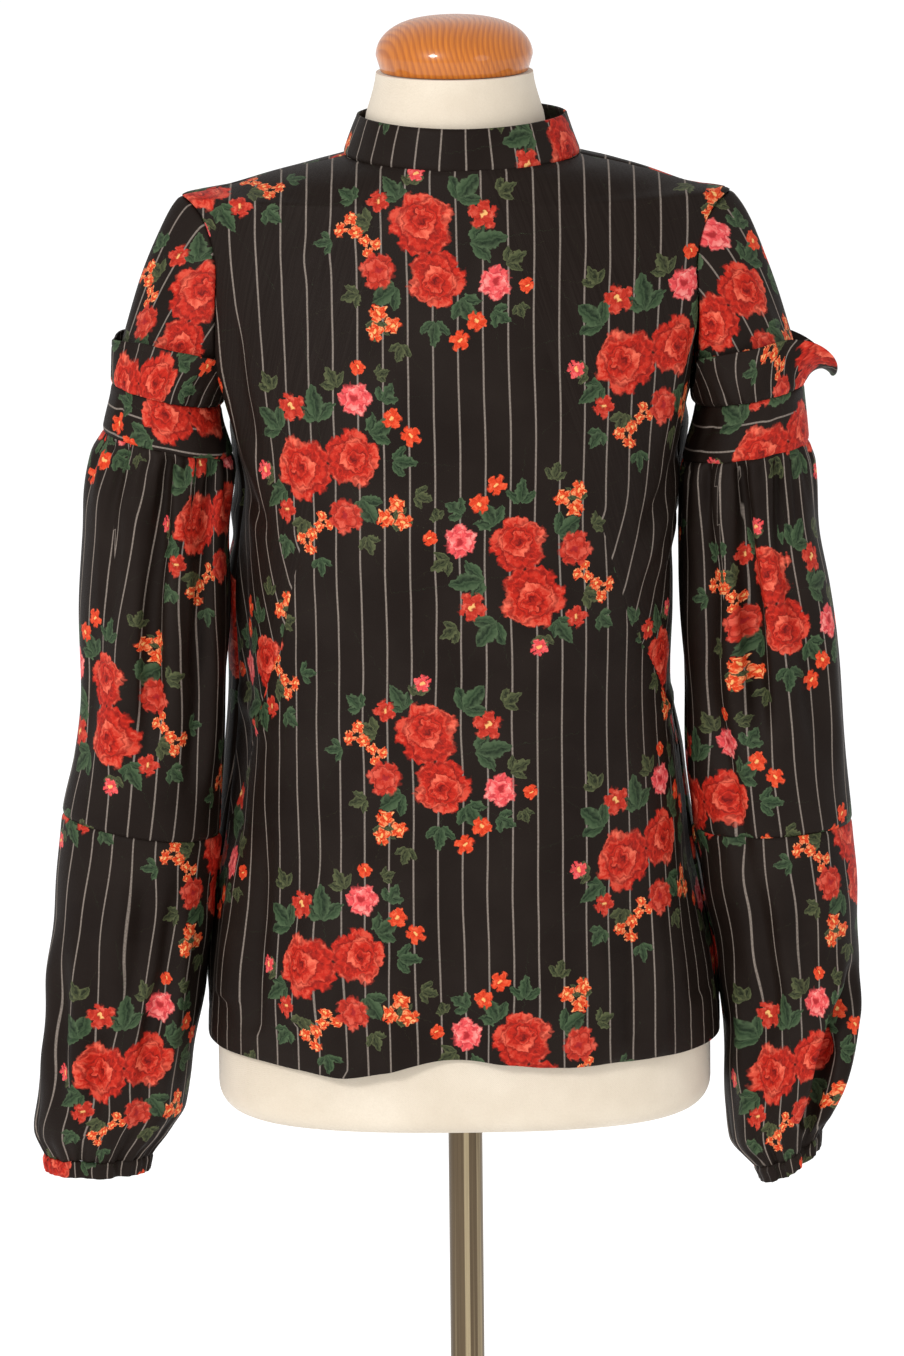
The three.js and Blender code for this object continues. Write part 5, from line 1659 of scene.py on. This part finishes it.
def build_button():
    """Round button on a shank, with a shallow dish in its face."""
    origin, across, up, out = collar_back_frame()
    top = SHANK_LENGTH + BUTTON_THICKNESS
    profile = [
        (0, 0),
        (SHANK_RADIUS, 0),
        (SHANK_RADIUS, SHANK_LENGTH),
        (BUTTON_RADIUS, SHANK_LENGTH),
        (BUTTON_RADIUS, top),
        (BUTTON_RADIUS - 1.4, top),
        (BUTTON_RADIUS - 2, top - 0.5),
        (0, top - 0.6),
    ]
    local, faces = revolve(rounded(profile, 0.5), 48)
    seat = origin + BUTTON_OFFSET * across + SEAT_HEIGHT * out
    points = seat + local[:, :1] * across - local[:, 1:2] * up + local[:, 2:] * out
    solid("neck_button", points, faces, button_material(), "button")


def build_loop():
    """Twisted thread loop round the button's shank, sewn on at the other side of the opening."""
    origin, across, up, out = collar_back_frame()
    turns = np.linspace(math.pi / 2, -math.pi / 2, 25)
    near, far = BUTTON_OFFSET - LOOP_REACH, BUTTON_OFFSET
    straight = np.linspace(near, far, LOOP_STRAIGHT_POINTS, endpoint=False)
    arc_x, arc_y = far + LOOP_HALF_WIDTH * np.cos(turns), LOOP_HALF_WIDTH * np.sin(turns)
    x = np.concatenate([straight, arc_x, straight[::-1]])
    beside = np.full(LOOP_STRAIGHT_POINTS, LOOP_HALF_WIDTH)
    y = np.concatenate([beside, arc_y, -beside])
    path = origin + x[:, None] * across + y[:, None] * up + (SEAT_HEIGHT + LOOP_WIRE_RADIUS) * out
    heading = np.gradient(path, axis=0)
    heading /= np.linalg.norm(heading, axis=1, keepdims=True)
    aside = np.cross(heading, out)
    around = np.linspace(0, 2 * math.pi, LOOP_SEGMENTS, endpoint=False)
    travelled = np.concatenate([[0], np.cumsum(np.linalg.norm(np.diff(path, axis=0), axis=1))])
    radius = LOOP_WIRE_RADIUS * (0.92 + 0.08 * np.cos(3 * (around[None, :] - travelled[:, None] * 1.6)))
    outward = np.cos(around)[:, None] * aside[:, None, :] + np.sin(around)[:, None] * out
    points = (path[:, None, :] + radius[..., None] * outward).reshape(-1, 3)
    faces = ring_faces(len(path), LOOP_SEGMENTS)
    faces.append(tuple(range(LOOP_SEGMENTS - 1, -1, -1)))
    faces.append(tuple(range(len(points) - LOOP_SEGMENTS, len(points))))
    solid("neck_loop", points, faces, button_material("thread", 0.75), "thread_loop")


def build_form():
    """Cloth-covered torso, without arms, legs or head."""
    edge_top = FORM_BOTTOM + FORM_EDGE_RADIUS
    low = edge_top - FORM_EDGE_RADIUS * np.cos(np.linspace(0, math.pi / 2, 9))
    heights = np.concatenate([low, np.linspace(edge_top, FORM_NECK_TOP, FORM_ROWS)[1:]])
    inset = FORM_EDGE_RADIUS - np.sqrt(FORM_EDGE_RADIUS**2 - np.maximum(edge_top - heights, 0) ** 2)
    angles = np.linspace(0, 360, FORM_COLUMNS, endpoint=False)
    tall = spread(heights, (len(heights), FORM_COLUMNS))
    radius = section_radius(FORM, tall, angles, inset[:, None])
    turn = np.radians(angles)
    rings = np.stack([radius * np.sin(turn), -radius * np.cos(turn), tall], -1)
    points, faces = closed_rings(rings, (0, 0, heights[0]), (0, 0, heights[-1]))
    solid("form_torso", points, faces, jersey_material(), "jersey", 50)


def build_stand():
    """Neck cap, pole and base plate, each a little clear of its neighbour."""
    bottom = FORM_NECK_TOP + GAP
    widest = bottom + CAP_HEIGHT * 0.3
    crown = bottom + CAP_HEIGHT - widest
    foot = [(0, bottom), (CAP_FOOT_RADIUS, bottom), (CAP_FOOT_RADIUS + 2.5, bottom + 4)]
    profile = rounded(foot, 1)[:-1]
    for turn in np.linspace(0, math.pi / 2, 33):
        profile.append((CAP_RADIUS * max(math.cos(turn), 0) ** 0.72, widest + crown * math.sin(turn)))
    profile[-1] = (0, profile[-1][1])
    solid("neck_cap", *revolve(profile, 128), wood_material(), "varnished_wood")

    foot, head = SOCKET_FLOOR + GAP, FORM_BOTTOM - GAP
    pole = [(0, foot), (POLE_RADIUS, foot), (POLE_RADIUS, head), (0, head)]
    solid("pole", *revolve(rounded(pole, 0.5), 64), steel_material(), "brushed_steel")

    socket = POLE_RADIUS + GAP
    plate = [
        (0, 0),
        (PLATE_RADIUS, 0),
        (PLATE_RADIUS, PLATE_THICKNESS),
        (HUB_RADIUS + 7, PLATE_THICKNESS),
        (HUB_RADIUS, PLATE_THICKNESS + 6),
        (HUB_RADIUS, HUB_HEIGHT),
        (socket, HUB_HEIGHT),
        (socket, SOCKET_FLOOR),
        (0, SOCKET_FLOOR),
    ]
    solid("base_plate", *revolve(rounded(plate, 2), 160), paint_material(), "painted_steel")


def object_place(n, scale=(1, 1, 1)):
    """Place on the object in millimetres, stretched as asked."""
    at = n.add("ShaderNodeTexCoord", {}, "Object")
    return n.vector("MULTIPLY", at, tuple(1000 * factor for factor in scale))


def jersey_material():
    """Cream knit: fine wales and courses, and a faint mottle."""
    material, n, shader = new_material("jersey")
    place = object_place(n)
    mottle = n.noise(place, 0.02, 3.0)
    shade = n.mix(n.span(mottle, 0.35, 0.7), colour(207, 194, 175), colour(219, 207, 189))
    fleck = n.noise(place, 0.9, 2.0)
    shade = n.mix(n.span(fleck, 0.3, 0.7, 0.0, 0.16), shade, colour(184, 170, 149))
    x, y, z = n.parts(place)
    wale = n.math("SINE", n.math("MULTIPLY", n.math("ADD", x, y), 4.2))
    course = n.math("SINE", n.math("MULTIPLY", z, 4.6))
    knit = n.math("MULTIPLY_ADD", n.math("MULTIPLY", wale, course), 0.25, n.noise(place, 1.3, 2.0))
    settle(n, shader, Base_Color=shade, Roughness=0.88, Normal=n.bump(knit, 0.4, 0.0005))
    settle(n, shader, Sheen_Weight=0.25, Sheen_Roughness=0.5, Specular_IOR_Level=0.25)
    return material


def wood_material():
    """Varnished wood with curved darker grain under a clear coat."""
    material, n, shader = new_material("varnished_wood")
    place = object_place(n)
    waver = n.fine_noise(place, (0.014, 0.014, 0.014), 0.5)
    x, y, z = n.parts(place)
    across = n.math("ADD", x, n.math("MULTIPLY", z, 0.2))
    across = n.math("MULTIPLY_ADD", waver, 40.0, n.math("MULTIPLY_ADD", y, 0.12, across))
    ring = n.math("FRACT", n.math("MULTIPLY", across, 0.23))
    late = n.math("MULTIPLY", n.span(ring, 0.2, 0.8, 0.0, 1.0, True), n.span(ring, 1.0, 0.8))
    fibres = n.fine_noise(place, (1.6, 0.05, 0.05), 3.0)
    shade = n.mix(n.math("MULTIPLY", late, 0.6), colour(196, 112, 24), colour(146, 68, 12))
    shade = n.mix(n.span(fibres, 0.35, 0.7, 0.0, 0.35), shade, colour(128, 56, 8))
    rough = n.span(fibres, 0.3, 0.7, 0.3, 0.42)
    settle(n, shader, Base_Color=shade, Roughness=rough, Normal=n.bump(fibres, 0.08, 0.0003))
    settle(n, shader, Coat_Weight=0.5, Coat_Roughness=0.08, Specular_IOR_Level=0.3)
    return material


def steel_material():
    """Dark drawn steel, with streaks and fine lines that run along the pole. Its pale streaks are partly a
    painted reflection.
    """
    material, n, shader = new_material("brushed_steel")
    streaks_and_painted_reflection = n.noise(object_place(n, (0.3, 0.3, 0.001)), 1.0, 1.0)
    lines = n.noise(object_place(n, (1.4, 1.4, 0.01)), 1.0, 2.0)
    # Pale bands along the pole: partly streaks of the drawn steel, partly a painted reflection of the studio
    # light
    light = n.span(streaks_and_painted_reflection, 0.5, 0.72, 0.0, 1.0, True)
    shade = n.mix(light, colour(98, 84, 66), colour(168, 152, 122))
    shade = n.mix(n.span(lines, 0.35, 0.7, 0.0, 0.3), shade, colour(70, 60, 48))
    rough = n.span(lines, 0.3, 0.7, 0.26, 0.42)
    settle(n, shader, Base_Color=shade, Roughness=rough, Normal=n.bump(lines, 0.06, 0.0002))
    settle(n, shader, Metallic=0.95)
    return material


def paint_material():
    """Grey paint with a fine orange-peel surface and a few dull scuffs."""
    material, n, shader = new_material("painted_steel")
    place = object_place(n)
    scuffs = n.fine_noise(place, (0.05, 0.3, 0.1), 4.0)
    shade = n.mix(n.span(scuffs, 0.55, 0.75, 0.0, 0.5), colour(104, 101, 98), colour(134, 131, 127))
    rough = n.span(scuffs, 0.4, 0.75, 0.32, 0.55)
    peel = n.bump(n.noise(place, 0.7, 2.0), 0.12, 0.0003)
    settle(n, shader, Base_Color=shade, Roughness=rough, Normal=peel, Metallic=0.6)
    return material


def button_material(name="button", roughness=0.3):
    material, n, shader = new_material(name)
    specks = n.noise(object_place(n), 3.0, 3.0)
    shade = n.mix(n.span(specks, 0.35, 0.7), colour(20, 18, 18), colour(38, 34, 32))
    settle(n, shader, Base_Color=shade, Roughness=roughness, Normal=n.bump(specks, 0.1, 0.0002))
    return material


def floor_material():
    material, n, shader = new_material("floor")
    shade = n.mix(n.noise(object_place(n), 0.001, 2.0), colour(250, 250, 250), colour(254, 254, 254))
    settle(n, shader, Base_Color=shade, Roughness=0.9, Specular_IOR_Level=0.1)
    settle(n, shader, Emission_Color=WHITE, Emission_Strength=FLOOR_GLOW)
    return material


def build_floor():
    mesh = bpy.data.meshes.new("floor")
    near, far = FLOOR_REACH
    corners = [(-near, -near, 0), (near, -near, 0), (near, far, 0), (-near, far, 0)]
    mesh.from_pydata(corners, [], [(0, 1, 2, 3)])
    mesh.materials.append(floor_material())
    floor = new_object("floor", mesh)


def area_light(name, place, aim, size, power):
    data = bpy.data.lights.new(name, "AREA")
    data.shape = "DISK"
    data.size = size
    data.energy = power
    light = new_object(name, data)
    light.location = place
    light.rotation_euler = (Vector(aim) - Vector(place)).to_track_quat("-Z", "Y").to_euler()


def build_lights():
    world = bpy.data.worlds.new("studio")
    world.use_nodes = True
    background = world.node_tree.nodes["Background"]
    background.inputs["Color"].default_value = WHITE
    background.inputs["Strength"].default_value = WORLD_STRENGTH
    bpy.context.scene.world = world
    for name, settings in LIGHTS.items():
        area_light(name, *settings)
    bpy.context.scene.view_settings.view_transform = "Standard"


def build_camera():
    data = bpy.data.cameras.new("camera")
    data.sensor_fit = "AUTO"
    data.sensor_width = SENSOR
    data.lens = SENSOR * FOCAL_PIXELS / IMAGE_HEIGHT
    data.clip_end = 200
    camera = new_object("camera", data)
    tilt = Matrix.Rotation(math.radians(90 - CAMERA_PITCH), 4, "X")
    roll = Matrix.Rotation(-CAMERA_ROLL, 4, "Z")
    camera.matrix_world = Matrix.Translation([value * MM for value in CAMERA_AT]) @ tilt @ roll
    bpy.context.scene.camera = camera


build_camera()
build_front()
build_back()
build_collar()
for side_name in ("left", "right"):
    build_upper_sleeve(side_name)
    build_ruffle(side_name)
    build_arm_band(side_name)
    build_balloon(side_name)
    build_lower_sleeve(side_name)
    build_cuff(side_name)
build_button()
build_loop()
build_form()
build_stand()
build_floor()
build_lights()
